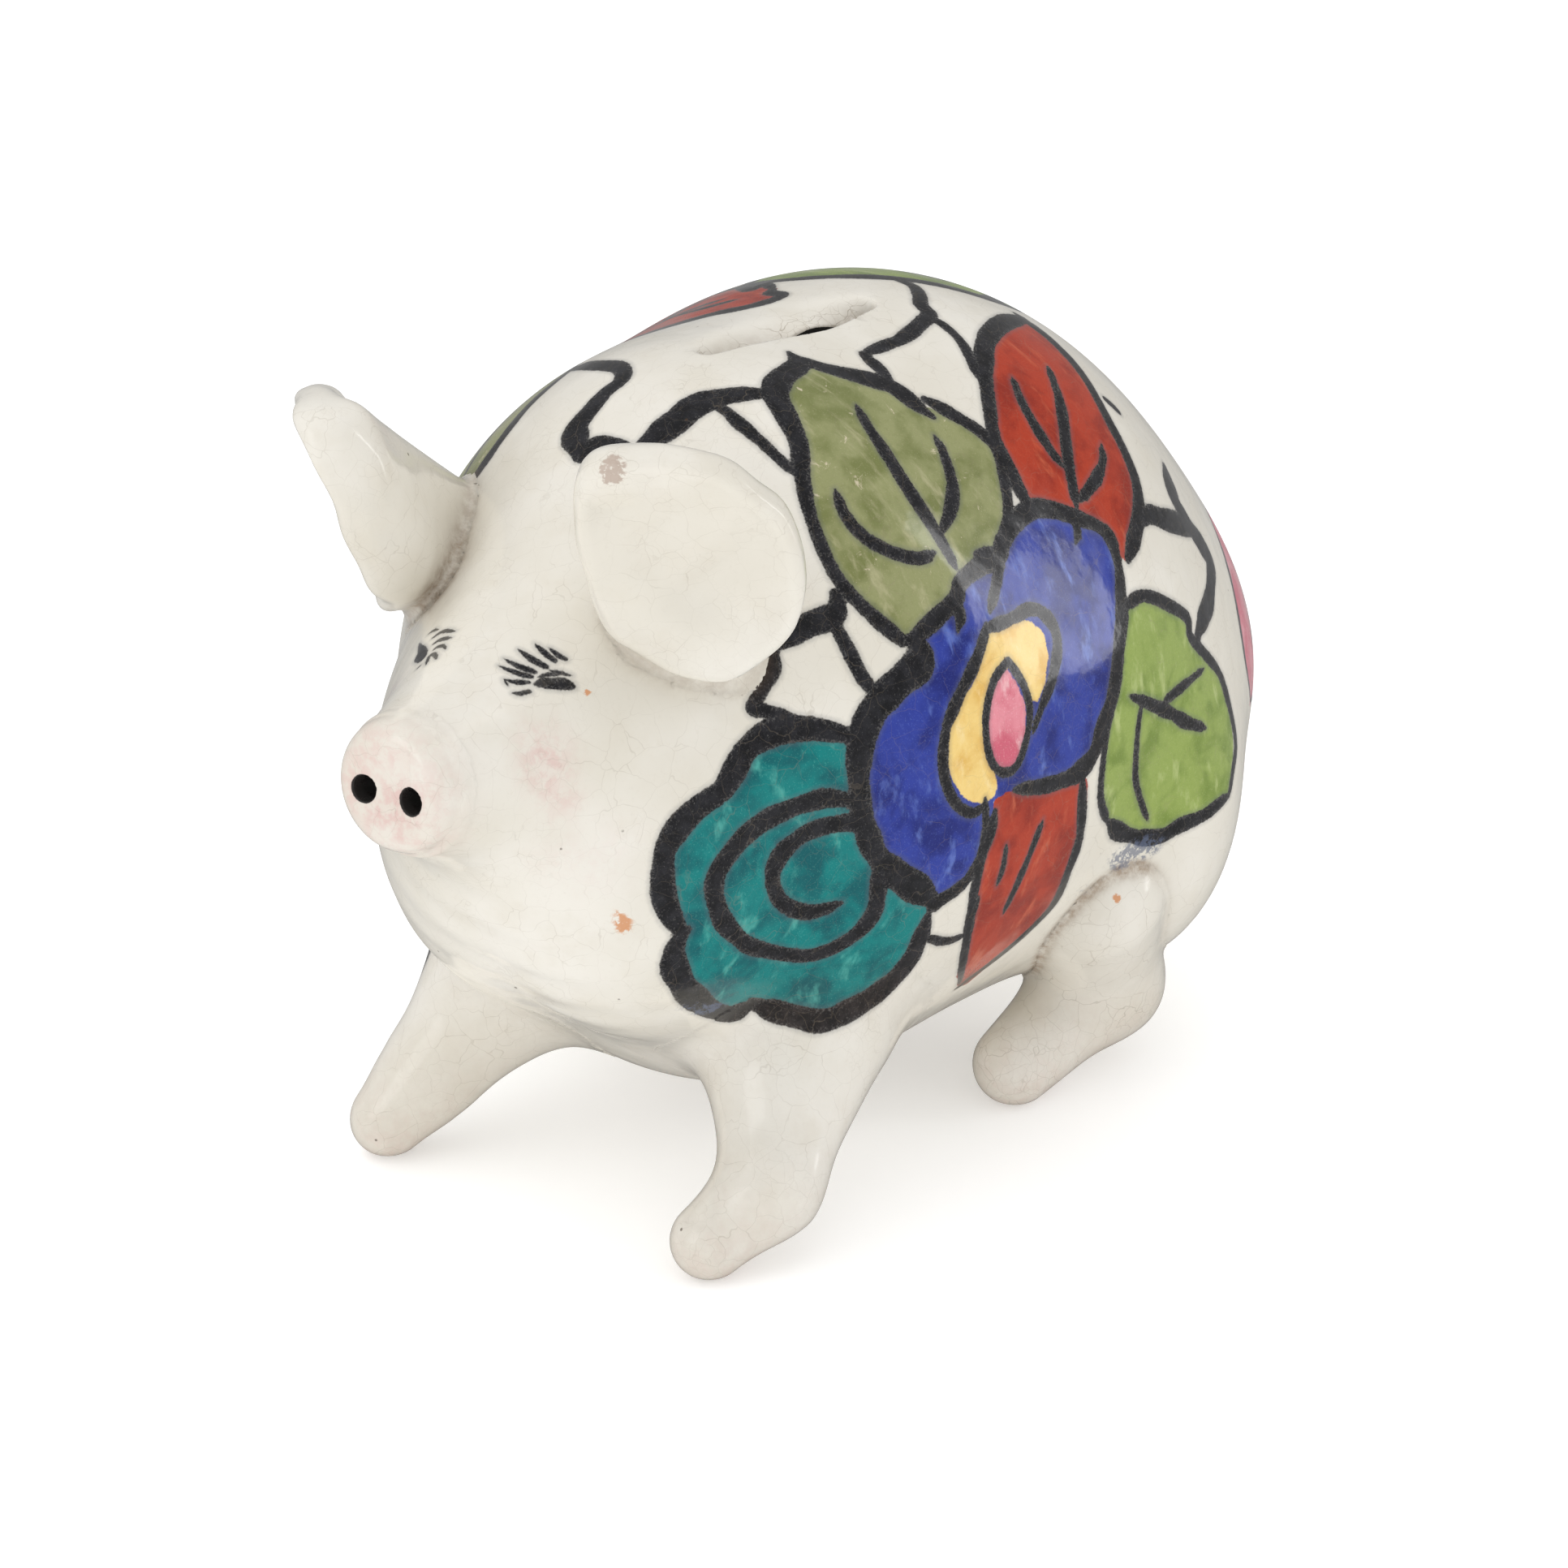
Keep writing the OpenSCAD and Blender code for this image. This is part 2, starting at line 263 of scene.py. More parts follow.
def nostrils(p):
    d = None
    for s in (-1, 1):
        c = MUZ + np.array([s * 3.5, 0, 0], F32) + np.array([0, AX[2], -AX[1]], F32) * -0.3
        q = p - c
        h = q @ AX
        rad = np.sqrt(np.maximum((q * q).sum(-1) - h * h, 0))
        c1 = np.maximum(rad - 1.35 - 0.18 * np.maximum(h - 2.5, 0), 0.3 - h)
        d = c1 if d is None else np.minimum(d, c1)
    return d


def rump_y(x, z):
    lo, hi = 30.0, 95.0
    for _ in range(26):
        m = (lo + hi) / 2
        if float(body_f(np.array([[x, m, z]], F32))[0]) < 0:
            lo = m
        else:
            hi = m
    return lo


def tail_points(n=26):
    out = []
    for i in range(n + 1):
        t = i / n
        a = math.radians(100 - 400 * t)
        r = 5.6 * (1 - 0.45 * t)
        x, z = r * math.cos(a), 62 + r * math.sin(a)
        out.append((x, rump_y(x, z) + 1.3, z, 2.2 * (1 - 0.35 * t)))
    return out


TAIL = tail_points()


def tail_f(p):
    f = None
    for a, b in zip(TAIL[:-1], TAIL[1:]):
        c = taper(p, a[:3], b[:3], a[3], b[3] * 0.999)
        f = c if f is None else np.minimum(f, c)
    return f


# ------------------------------------------------------------------ mesher
def grid_field(fn, lo, hi, h):
    lo = np.asarray(lo, float)
    n = np.ceil((np.asarray(hi, float) - lo) / h).astype(int) + 1
    xs, ys, zs = [(lo[i] + h * np.arange(n[i])).astype(F32) for i in range(3)]
    out = np.empty(tuple(n), F32)
    Y, Z = np.meshgrid(ys, zs, indexing="ij")
    step = max(1, int(400000 / (n[1] * n[2])))
    for i in range(0, n[0], step):
        x = xs[i:i + step]
        p = np.empty((len(x), n[1], n[2], 3), F32)
        p[..., 0] = x[:, None, None]
        p[..., 1] = Y
        p[..., 2] = Z
        out[i:i + step] = fn(p.reshape(-1, 3)).reshape(len(x), n[1], n[2])
    return out, lo, h


def surface_nets(val, lo, h):
    """Quads on the zero level of a sampled field, outward-facing."""
    s = val < 0
    c = np.zeros(tuple(d - 1 for d in val.shape), np.uint8)
    for dx in (0, 1):
        for dy in (0, 1):
            for dz in (0, 1):
                c += s[dx:s.shape[0] - 1 + dx, dy:s.shape[1] - 1 + dy, dz:s.shape[2] - 1 + dz]
    act = (c > 0) & (c < 8)
    idx = np.argwhere(act)
    ids = np.full(act.shape, -1, np.int64)
    ids[act] = np.arange(len(idx))
    acc = np.zeros((len(idx), 3))
    cnt = np.zeros(len(idx))
    corner = [(a, b, d) for a in (0, 1) for b in (0, 1) for d in (0, 1)]
    for a in corner:
        for ax in range(3):
            if a[ax]:
                continue
            b = list(a)
            b[ax] = 1
            va = val[idx[:, 0] + a[0], idx[:, 1] + a[1], idx[:, 2] + a[2]]
            vb = val[idx[:, 0] + b[0], idx[:, 1] + b[1], idx[:, 2] + b[2]]
            m = (va < 0) != (vb < 0)
            t = np.where(m, va / np.where(m, va - vb, 1), 0)
            for k in range(3):
                acc[:, k] += np.where(m, a[k] + (t if k == ax else 0), 0)
            cnt += m
    V = lo + h * (idx + acc / cnt[:, None])
    quads = []
    for ax in range(3):
        b, d = [(1, 2), (2, 0), (0, 1)][ax]
        sl0 = [slice(None)] * 3
        sl1 = [slice(None)] * 3
        sl0[ax] = slice(0, -1)
        sl1[ax] = slice(1, None)
        flip = s[tuple(sl0)] != s[tuple(sl1)]
        e = np.argwhere(flip)
        e = e[(e[:, b] > 0) & (e[:, d] > 0) & (e[:, b] < val.shape[b] - 1) & (e[:, d] < val.shape[d] - 1)]
        inside = s[e[:, 0], e[:, 1], e[:, 2]]
        q = []
        for db, dd in ((0, 0), (-1, 0), (-1, -1), (0, -1)):
            g = e.copy()
            g[:, b] += db
            g[:, d] += dd
            q.append(ids[g[:, 0], g[:, 1], g[:, 2]])
        q = np.stack(q, 1)
        q[~inside] = q[~inside][:, ::-1]
        quads.append(q)
    return V, np.concatenate(quads)


def grad(fn, V, e=0.05):
    g = np.empty((len(V), 3), np.float64)
    for k in range(3):
        d = np.zeros(3, F32)
        d[k] = e
        g[:, k] = (fn((V + d).astype(F32)).astype(float) - fn((V - d).astype(F32))) / (2 * e)
    return g


def project(fn, V, rounds=3, cap=0.5):
    for _ in range(rounds):
        f = fn(V.astype(F32)).astype(float)
        g = grad(fn, V)
        n2 = (g * g).sum(1) + 1e-6
        step = -(f / n2)[:, None] * g
        ln = np.linalg.norm(step, axis=1)
        step *= np.minimum(1, cap / np.maximum(ln, 1e-9))[:, None]
        V = V + step
    return V


def to_tris(V, Q):
    a = np.linalg.norm(V[Q[:, 0]] - V[Q[:, 2]], axis=1)
    b = np.linalg.norm(V[Q[:, 1]] - V[Q[:, 3]], axis=1)
    m = a <= b
    t1 = np.where(m[:, None], Q[:, [0, 1, 2]], Q[:, [0, 1, 3]])
    t2 = np.where(m[:, None], Q[:, [0, 2, 3]], Q[:, [1, 2, 3]])
    return np.concatenate([t1, t2])


def relax(fn, V, T, rounds=2, amount=0.5):
    """Evens the triangles out along the surface."""
    e = np.concatenate([T[:, [0, 1]], T[:, [1, 2]], T[:, [2, 0]]])
    for _ in range(rounds):
        s = np.zeros_like(V)
        c = np.zeros(len(V))
        for k in range(3):
            s[:, k] = np.bincount(e[:, 0], V[e[:, 1], k], len(V)) + np.bincount(e[:, 1], V[e[:, 0], k], len(V))
        c = np.bincount(e[:, 0], minlength=len(V)) + np.bincount(e[:, 1], minlength=len(V))
        V = project(fn, V + amount * (s / np.maximum(c, 1)[:, None] - V), 1)
    return V


def refine(V, T, want, fn):
    """Splits the triangle edges that want() marks and puts the new points on the surface."""
    e = np.concatenate([T[:, [1, 2]], T[:, [2, 0]], T[:, [0, 1]]])
    e.sort(axis=1)
    key = e[:, 0].astype(np.int64) * len(V) + e[:, 1]
    uk, inv = np.unique(key, return_inverse=True)
    inv = inv.reshape(3, -1).T
    a, b = uk // len(V), uk % len(V)
    mark = want(a, b)
    while True:
        two = mark[inv].sum(1) == 2
        if not two.any():
            break
        mark[inv[two].ravel()] = True
    new = np.cumsum(mark) - 1 + len(V)
    P = project(fn, (V[a[mark]] + V[b[mark]]) / 2, 2)
    V2 = np.concatenate([V, P])
    m = mark[inv]
    n = m.sum(1)
    out = [T[n == 0]]
    t = T[n == 3]
    i = new[inv[n == 3]]
    out += [np.stack([t[:, 0], i[:, 2], i[:, 1]], 1), np.stack([t[:, 1], i[:, 0], i[:, 2]], 1),
            np.stack([t[:, 2], i[:, 1], i[:, 0]], 1), np.stack([i[:, 0], i[:, 1], i[:, 2]], 1)]
    for k in range(3):
        g = (n == 1) & m[:, k]
        t = T[g]
        i = new[inv[g][:, k]]
        o, p, q = t[:, k], t[:, (k + 1) % 3], t[:, (k + 2) % 3]
        out += [np.stack([o, p, i], 1), np.stack([o, i, q], 1)]
    return V2, np.concatenate(out)


def build(fn, lo, hi, h, relax_rounds=2):
    val, l, h = grid_field(fn, lo, hi, h)
    V, Q = surface_nets(val, l, h)
    V = project(fn, V, 3, 0.4 * h)
    T = to_tris(V, Q)
    if relax_rounds:
        V = relax(fn, V, T, relax_rounds)
    return V, T


def keep_main(V, T):
    """Drops any loose crumbs and unused points."""
    lab = np.arange(len(V))
    while True:
        m = np.minimum(np.minimum(lab[T[:, 0]], lab[T[:, 1]]), lab[T[:, 2]])
        new = lab.copy()
        for k in range(3):
            np.minimum.at(new, T[:, k], m)
        new = new[new]
        if (new == lab).all():
            break
        lab = new
    r, c = np.unique(lab[T[:, 0]], return_counts=True)
    T = T[lab[T[:, 0]] == r[c.argmax()]]
    u, inv = np.unique(T, return_inverse=True)
    return V[u], inv.reshape(-1, 3)


def limb_mesh(fn, k, lo, hi, h):
    """A limb with its fillet onto the body; its inner end is buried in the wall."""
    def total(p):
        return smin(body_f(p), fn(p), k)

    def g(p):
        b = body_f(p)
        t = smin(b, fn(p), k)
        return np.maximum(np.maximum(t, -(b + 1.2)), t - b + 0.07)
    V, T = build(g, lo, hi, h, 0)
    return keep_main(V, T) + (total, g)


# ------------------------------------------------------------------ painting
# The brush lines and colour fields, laid on the surface from one viewpoint
# as the painter saw that side; distances are in millimetres on the surface.
VA, VE = math.radians(33.95), math.radians(23.553)
VR = np.array([math.cos(VA), math.sin(VA), 0])
VU = np.array([-math.sin(VA) * math.sin(VE), math.cos(VA) * math.sin(VE), math.cos(VE)])
VB = np.array([math.sin(VA) * math.cos(VE), -math.cos(VA) * math.cos(VE), math.sin(VE)])
VC = np.array([0, -3.3, 55]) + 2.908 * VR - 10.601 * VU + 600 * VB
VF = 5556.0


def chart_of(P):
    d = P - VC
    zc = -(d @ VB)
    return np.stack([966 + VF * (d @ VR) / zc, 966 - VF * (d @ VU) / zc], -1)


def trace(o, d, t0, t1, fn=skin_f):
    t = np.full(len(d), float(t0))
    best = np.full(len(d), 1e9)
    tb = t.copy()
    for _ in range(70):
        f = fn((o + d * t[:, None]).astype(F32)).astype(float)
        m = f < best
        best[m] = f[m]
        tb[m] = t[m]
        t = np.minimum(t + 0.8 * f, t1)
    P = o + d * tb[:, None]
    return project(fn, P, 3, 3.0), best < 0.3


def onto(px):
    px = np.asarray(px, float)
    d = -VB + ((px[:, 0] - 966) / VF)[:, None] * VR - ((px[:, 1] - 966) / VF)[:, None] * VU
    d /= np.linalg.norm(d, axis=1)[:, None]
    return trace(VC, d, 470, 720)[0]


def spline(pts, n=5, closed=False):
    p = np.asarray(pts, float)
    if len(p) < 3 and not closed:
        t = np.linspace(0, 1, 2 * n)[:, None]
        return p[0] * (1 - t) + p[-1] * t
    if closed:
        q = np.concatenate([p[-1:], p, p[:2]])
    else:
        q = np.concatenate([2 * p[:1] - p[1:2], p, 2 * p[-1:] - p[-2:-1]])
    out = []
    for i in range(1, len(q) - 2):
        a, b, c, d = q[i - 1:i + 3]
        for t in np.arange(n) / n:
            out.append(0.5 * (2 * b + (c - a) * t + (2 * a - 5 * b + 4 * c - d) * t * t + (3 * b - a - 3 * c + d) * t ** 3))
    if not closed:
        out.append(q[-2])
    return np.array(out)


def frame_at(A, B):
    """A flat drawing frame lying on the surface: origin A, first axis towards B."""
    A = np.asarray(A, float)
    n = grad(skin_f, A[None])[0]
    n /= np.linalg.norm(n)
    u = np.asarray(B, float) - A
    u -= (u @ n) * n
    u /= np.linalg.norm(u)
    return A, u, np.cross(n, u), n


def flat_onto(fr, pts):
    A, u, v, n = fr
    p = np.asarray(pts, float)
    o = A + p[:, :1] * u + p[:, 1:] * v + 30 * n
    return trace(o, np.tile(-n, (len(o), 1)), 0, 75)[0]


class Paint:
    def __init__(self):
        self.lines = []
        self.fills = {}

    def line(self, pts, w, ends=(0.55, 0.5), sharp=False, fr=None, wob=0.12):
        """A brush stroke: chart points, width in mm, how much each end thins."""
        p = spline(pts, 1 if sharp else 4)
        P = onto(p) if fr is None else flat_onto(fr, p)
        L = np.concatenate([[0], np.cumsum(np.linalg.norm(np.diff(P, axis=0), axis=1))])
        w = np.interp(L / max(L[-1], 1e-6), np.linspace(0, 1, len(w)), w) if np.ndim(w) else np.full(len(P), float(w))
        k = rng.normal(0, 1, 64)
        wn = sum(k[i] * np.sin(L * (0.35 + 0.22 * i) + k[i + 20] * 3) for i in range(5)) / 3.0
        w = w * (1 + wob * wn)
        r = w / 2
        r = r * np.minimum(1, ends[0] + (1 - ends[0]) * L / np.maximum(w * 0.9, 0.2))
        r = r * np.minimum(1, ends[1] + (1 - ends[1]) * (L[-1] - L) / np.maximum(w * 0.9, 0.2))
        self.lines.append((P, r))

    def blob(self, pts, fr=None):
        p = spline(pts, 3, True)
        self.lines.append((p, None, fr, onto(p) if fr is None else flat_onto(fr, p)))

    def fill(self, name, pts, fr=None):
        p = spline(pts, 3, True)
        self.fills.setdefault(name, []).append((p, fr, onto(p) if fr is None else flat_onto(fr, p)))


def seg_dist(P, Q, r=None, closed=False):
    A = Q if closed else Q[:-1]
    B = np.roll(Q, -1, 0) if closed else Q[1:]
    ra = np.zeros(len(A)) if r is None else r[:-1]
    rb = np.zeros(len(A)) if r is None else r[1:]
    out = np.full(len(P), 9.0)
    for a, b, s, e in zip(A, B, ra, rb):
        ba = b - a
        pa = P - a
        t = np.clip(pa @ ba / max(ba @ ba, 1e-9), 0, 1)
        d = np.linalg.norm(pa - t[:, None] * ba, axis=1) - (s + (e - s) * t)
        np.minimum(out, d, out=out)
    return out


def in_poly(p, q):
    x, y = p[:, 0], p[:, 1]
    ins = np.zeros(len(p), bool)
    for (x1, y1), (x2, y2) in zip(q, np.roll(q, -1, 0)):
        if y1 == y2:
            continue
        c = (y1 > y) != (y2 > y)
        ins ^= c & (x < (x2 - x1) * (y - y1) / (y2 - y1) + x1)
    return ins


CLIP = 3.0


def poly_sd(P, N, p, fr, Q):
    out = np.full(len(P), CLIP)
    lo, hi = Q.min(0) - CLIP, Q.max(0) + CLIP
    m = ((P > lo) & (P < hi)).all(1)
    if fr is None:
        m &= (N * (VC - P)).sum(1) > 0
    else:
        m &= (N @ fr[3]) > 0.05
    i = np.where(m)[0]
    if not len(i):
        return out
    S = P[i]
    if fr is None:
        uv = chart_of(S)
    else:
        d = S - fr[0]
        uv = np.stack([d @ fr[1], d @ fr[2]], 1)
    d = seg_dist(S, Q, None, True)
    out[i] = np.clip(np.where(in_poly(uv, p), -d, d), -CLIP, CLIP)
    return out


def lay(paint, P, N):
    """Signed distance to every line and colour at the points, and how fine the mesh must be there."""
    line = np.full(len(P), CLIP)
    fine = np.full(len(P), 9.0)
    for item in paint.lines:
        if item[1] is None:
            d = poly_sd(P, N, item[0], item[2], item[3])
            line = np.minimum(line, d)
            fine[np.abs(d) < 1.5] = 0.2
            continue
        Q, r = item
        lo, hi = Q.min(0) - CLIP - r.max(), Q.max(0) + CLIP + r.max()
        i = np.where(((P > lo) & (P < hi)).all(1))[0]
        if not len(i):
            continue
        d = seg_dist(P[i], Q, r)
        line[i] = np.minimum(line[i], d)
        w = 2 * np.median(r)
        g = 0.85 if w > 2.2 else (0.5 if w > 1.1 else 0.17)
        j = i[np.abs(d) < 1.4]
        fine[j] = np.minimum(fine[j], g)
    out = {"line": np.clip(line, -CLIP, CLIP)}
    for name in COLOURS:
        f = np.full(len(P), CLIP)
        for p, fr, Q in paint.fills.get(name, []):
            f = np.minimum(f, poly_sd(P, N, p, fr, Q))
        out[name] = f
    return out, fine


TOPS = Paint()       # the two upper leaves and their stems
COLOURS = ("teal", "blue", "yellow", "pink", "olive", "red", "lime")
SIDE = Paint()       # the flank pattern, also laid on the other flank
NEAR = Paint()       # what is only on this side and on the face

W, Wm, Wt = 2.9, 2.3, 1.7
# front leaf
s = TOPS
s.fill("olive", [(978, 440), (1012, 453), (1062, 466), (1098, 478), (1128, 500), (1171, 512), (1205, 532), (1224, 552), (1233, 580),
                 (1240, 638), (1222, 690), (1180, 718), (1150, 760), (1112, 786), (1060, 745), (1027, 706), (1005, 650), (992, 590),
                 (982, 553), (968, 510), (960, 482), (978, 462)])
s.line([(972, 434), (984, 449), (962, 466), (955, 486), (967, 509), (984, 546), (988, 585), (1000, 640), (1029, 708), (1068, 752), (1112, 790)],
       [2.2, 3.6, 3.8, 3.0, 2.6, 2.0, 1.8, 1.9, 2.0, 2.2], (0.4, 0.8))
s.line([(976, 438), (1012, 452), (1062, 465), (1098, 476), (1130, 500), (1150, 514)], [1.6, 2.6, 3.4, 3.6, 3.0, 2.0], (0.4, 0.5))
s.line([(1140, 492), (1171, 509), (1205, 530), (1226, 552), (1235, 580), (1243, 638), (1230, 680)], [2.6, 2.2, 2.0, 1.9, 2.0, 2.2])
s.line([(1055, 499), (1070, 526), (1092, 559), (1120, 604), (1150, 650), (1180, 703)], [1.2, 2.0, 2.3, 2.4, 2.0, 1.6], (0.3, 0.3))
s.line([(1029, 603), (1041, 634), (1063, 660), (1098, 680), (1132, 688), (1153, 680)], [1.3, 1.8, 2.0, 2.0, 1.6], (0.3, 0.3))
s.line([(1151, 536), (1163, 559), (1174, 599), (1170, 632), (1157, 660)], [1.3, 1.8, 2.2, 2.0, 1.4], (0.3, 0.3))
# top leaf
s.fill("red", [(1258, 395), (1294, 420), (1330, 460), (1363, 516), (1390, 571), (1400, 612), (1398, 650), (1386, 690), (1366, 655),
               (1330, 632), (1302, 620), (1268, 618), (1243, 571), (1227, 538), (1221, 500), (1216, 462), (1215, 430), (1226, 409)])
s.line([(1262, 392), (1240, 396), (1222, 409), (1213, 429), (1214, 462), (1219, 500), (1225, 538), (1241, 571), (1258, 607), (1268, 624)],
       [2.0, 3.2, 3.4, 3.0, 2.6, 2.3, 2.2, 2.3, 2.6])
s.line([(1254, 388), (1294, 418), (1332, 459), (1365, 516), (1392, 571), (1403, 612), (1401, 648), (1390, 688)],
       [3.0, 2.6, 2.3, 2.2, 2.3, 2.6, 3.0, 3.2])
s.line([(1247, 464), (1258, 493), (1272, 519), (1290, 548), (1310, 576)], [1.2, 1.7, 1.9, 1.6], (0.3, 0.3))
s.line([(1291, 451), (1300, 475), (1308, 504), (1316, 566), (1327, 628)], [1.4, 1.9, 2.2, 1.8], (0.3, 0.3))
s.line([(1357, 547), (1359, 566), (1352, 588), (1330, 618)], [1.2, 1.9, 1.8], (0.3, 0.3))
# blue flower
s = SIDE
s.fill("blue", [(1231, 690), (1240, 660), (1263, 634), (1285, 628), (1325, 640), (1362, 658), (1374, 690), (1379, 732), (1377, 791),
                (1371, 849), (1358, 893), (1345, 926), (1326, 950), (1293, 964), (1252, 970), (1222, 985), (1224, 1015), (1200, 1060),
                (1178, 1092), (1152, 1110), (1105, 1072), (1082, 1050), (1068, 1010), (1061, 967), (1063, 917), (1075, 881), (1095, 857),
                (1134, 817), (1130, 790), (1146, 767), (1178, 738), (1186, 717), (1222, 690)])
s.line([(1231, 700), (1236, 667), (1260, 634), (1284, 626), (1325, 637), (1362, 655), (1376, 688), (1381, 732), (1379, 791),
        (1373, 849), (1360, 893), (1348, 928), (1328, 952), (1293, 967), (1250, 973)], [2.4, 2.8, 3.0, 2.4, 2.2, 2.2, 2.4, 2.8, 3.2, 3.0, 2.4, 1.8])
s.line([(1322, 640), (1328, 656), (1325, 670)], 1.6, (0.8, 0.3))
s.line([(1206, 686), (1222, 687), (1204, 700), (1184, 717), (1178, 738), (1162, 754), (1146, 769), (1122, 790)], [3.4, 3.2, 2.6, 2.4, 2.4, 2.6, 3.2])
s.line([(1122, 788), (1136, 802), (1134, 818), (1118, 832), (1094, 855), (1073, 881), (1061, 917), (1058, 967), (1064, 1010), (1079, 1052), (1103, 1076), (1128, 1094), (1152, 1112)],
       [3.0, 4.2, 4.4, 4.4, 3.6, 3.0, 3.0, 3.4, 3.8, 4.2, 3.8])
s.line([(1152, 1114), (1186, 1090), (1205, 1062), (1221, 1031), (1228, 1000)], [3.0, 2.2, 1.6, 1.0], (0.9, 0.3))
s.line([(1174, 738), (1183, 757), (1180, 778)], 1.9, (0.8, 0.3))
s.line([(1232, 695), (1226, 727), (1219, 754)], 1.9, (0.9, 0.4))
# flower heart
s.fill("yellow", [(1219, 778), (1240, 770), (1263, 767), (1282, 780), (1288, 800), (1288, 822), (1278, 862), (1262, 850), (1250, 822),
                  (1236, 822), (1222, 845), (1214, 880), (1214, 920), (1222, 945), (1226, 972), (1215, 985), (1195, 984), (1176, 960),
                  (1168, 930), (1170, 905), (1182, 872), (1204, 838), (1210, 806)])
s.fill("pink", [(1240, 830), (1226, 850), (1220, 880), (1222, 915), (1232, 942), (1246, 944), (1258, 920), (1262, 880), (1255, 852)])
s.line([(1214, 775), (1243, 764), (1272, 750), (1294, 765), (1303, 793), (1297, 835), (1282, 875), (1272, 905)], [1.8, 1.9, 1.9, 2.0, 2.0, 1.9, 1.6, 1.0], (0.6, 0.3))
s.line([(1216, 772), (1204, 811), (1180, 862), (1165, 902), (1163, 952), (1176, 988), (1198, 1002), (1216, 990)], [1.9, 2.0, 1.9, 1.8, 1.7, 1.7, 1.5], (0.7, 0.4))
s.line([(1240, 816), (1224, 840), (1215, 881), (1217, 922), (1228, 948), (1246, 950), (1260, 928), (1269, 882), (1262, 846), (1242, 814)],
       [1.5, 1.5, 1.3, 1.3, 1.4, 1.5, 1.4, 1.4, 1.4], (0.9, 0.9))
s.line([(1214, 984), (1214, 1020), (1206, 1062)], 1.3, (0.6, 0.3))
# rose
s.fill("teal", [(968, 903), (1009, 903), (1058, 911), (1060, 960), (1068, 1015), (1084, 1056), (1104, 1078), (1138, 1104), (1144, 1130),
                (1115, 1189), (1086, 1217), (1048, 1240), (1010, 1254), (971, 1246), (927, 1234), (897, 1244), (861, 1230), (834, 1183),
                (840, 1148), (822, 1104), (822, 1063), (842, 1018), (891, 977), (921, 930)])
s.line([(1060, 910), (1009, 899), (968, 899), (940, 908), (918, 926), (905, 950), (892, 972)], [2.4, 3.0, 3.2, 3.4, 3.6, 3.8], (0.5, 0.9))
s.line([(905, 966), (889, 976), (862, 994), (839, 1016), (822, 1042), (817, 1068), (818, 1104), (828, 1130), (840, 1150)], [2.6, 3.0, 3.4, 3.4, 3.2, 3.0, 2.6], (0.6, 0.7))
s.line([(846, 1146), (834, 1162), (830, 1186), (840, 1212), (860, 1234), (880, 1246), (900, 1250), (916, 1242), (930, 1236)], [2.6, 3.4, 3.8, 3.8, 3.4, 2.8])
s.line([(926, 1234), (950, 1244), (980, 1252), (1012, 1258), (1050, 1243), (1088, 1218), (1117, 1189), (1132, 1160), (1143, 1128)], [2.8, 3.2, 3.4, 3.4, 3.4, 3.2, 3.0])
s.line([(1060, 988), (1030, 984), (1005, 986), (956, 1004), (925, 1024), (903, 1047), (884, 1075), (880, 1100), (890, 1133), (908, 1154),
        (930, 1168), (985, 1178), (1018, 1172), (1046, 1157), (1066, 1140), (1079, 1118), (1084, 1080)], [2.2, 2.6, 2.8, 2.8, 2.8, 2.6, 2.4, 2.4, 2.4, 2.6, 2.8], (0.5, 0.9))
s.line([(1076, 1022), (1050, 1014), (1027, 1016), (998, 1024), (977, 1038), (960, 1056), (952, 1078), (955, 1098), (966, 1114),
        (991, 1124), (1014, 1121), (1037, 1112)], [2.0, 2.4, 2.6, 2.5, 2.4, 2.3, 2.2, 2.0], (0.5, 0.4))
s.line([(1140, 1155), (1165, 1160), (1190, 1152)], 1.5, (0.6, 0.4))
s.line([(1190, 1152), (1198, 1130), (1206, 1104)], 1.2, (0.6, 0.4))
# lower leaf
s.fill("red", [(1228, 986), (1262, 972), (1300, 962), (1336, 950), (1333, 1027), (1317, 1074), (1299, 1114), (1264, 1150), (1225, 1183), (1182, 1214), (1192, 1153), (1204, 1076)])
s.line([(1226, 1000), (1212, 1050), (1202, 1090), (1194, 1140), (1182, 1212)], [1.8, 1.9, 1.8, 1.7, 1.5])
s.line([(1334, 960), (1331, 1027), (1316, 1074), (1298, 1114), (1264, 1150), (1225, 1183), (1178, 1218)], [2.0, 2.0, 1.9, 1.8, 1.8, 1.6])
s.line([(1285, 1010), (1270, 1050), (1252, 1092), (1236, 1126)], [1.2, 1.8, 1.2], (0.3, 0.3))
s.line([(1240, 1040), (1236, 1068), (1228, 1092)], [1.0, 1.3, 1.0], (0.3, 0.3))
# side leaf
s.fill("lime", [(1389, 750), (1409, 738), (1441, 750), (1459, 762), (1465, 784), (1503, 838), (1518, 908), (1512, 978), (1478, 1004),
                (1454, 1016), (1407, 1028), (1369, 1010), (1358, 980), (1364, 915), (1372, 853), (1384, 800)])
s.line([(1385, 748), (1409, 734), (1441, 746), (1463, 762), (1467, 785), (1488, 810), (1506, 838), (1522, 908), (1519, 950), (1514, 982)],
       [1.8, 2.0, 2.0, 1.9, 1.8, 1.7, 1.6, 1.4])
s.line([(1514, 980), (1484, 1004), (1452, 1018), (1432, 1030), (1407, 1032), (1380, 1026), (1366, 1012)], [1.6, 2.2, 2.4, 2.4, 2.6, 2.6])
s.line([(1388, 748), (1382, 800), (1371, 853), (1362, 915), (1356, 980), (1364, 1012)], [1.6, 1.4, 1.4, 1.4, 1.6])
s.line([(1391, 857), (1414, 866), (1439, 877), (1462, 890), (1486, 897)], [1.2, 1.8, 2.2, 1.6], (0.3, 0.3))
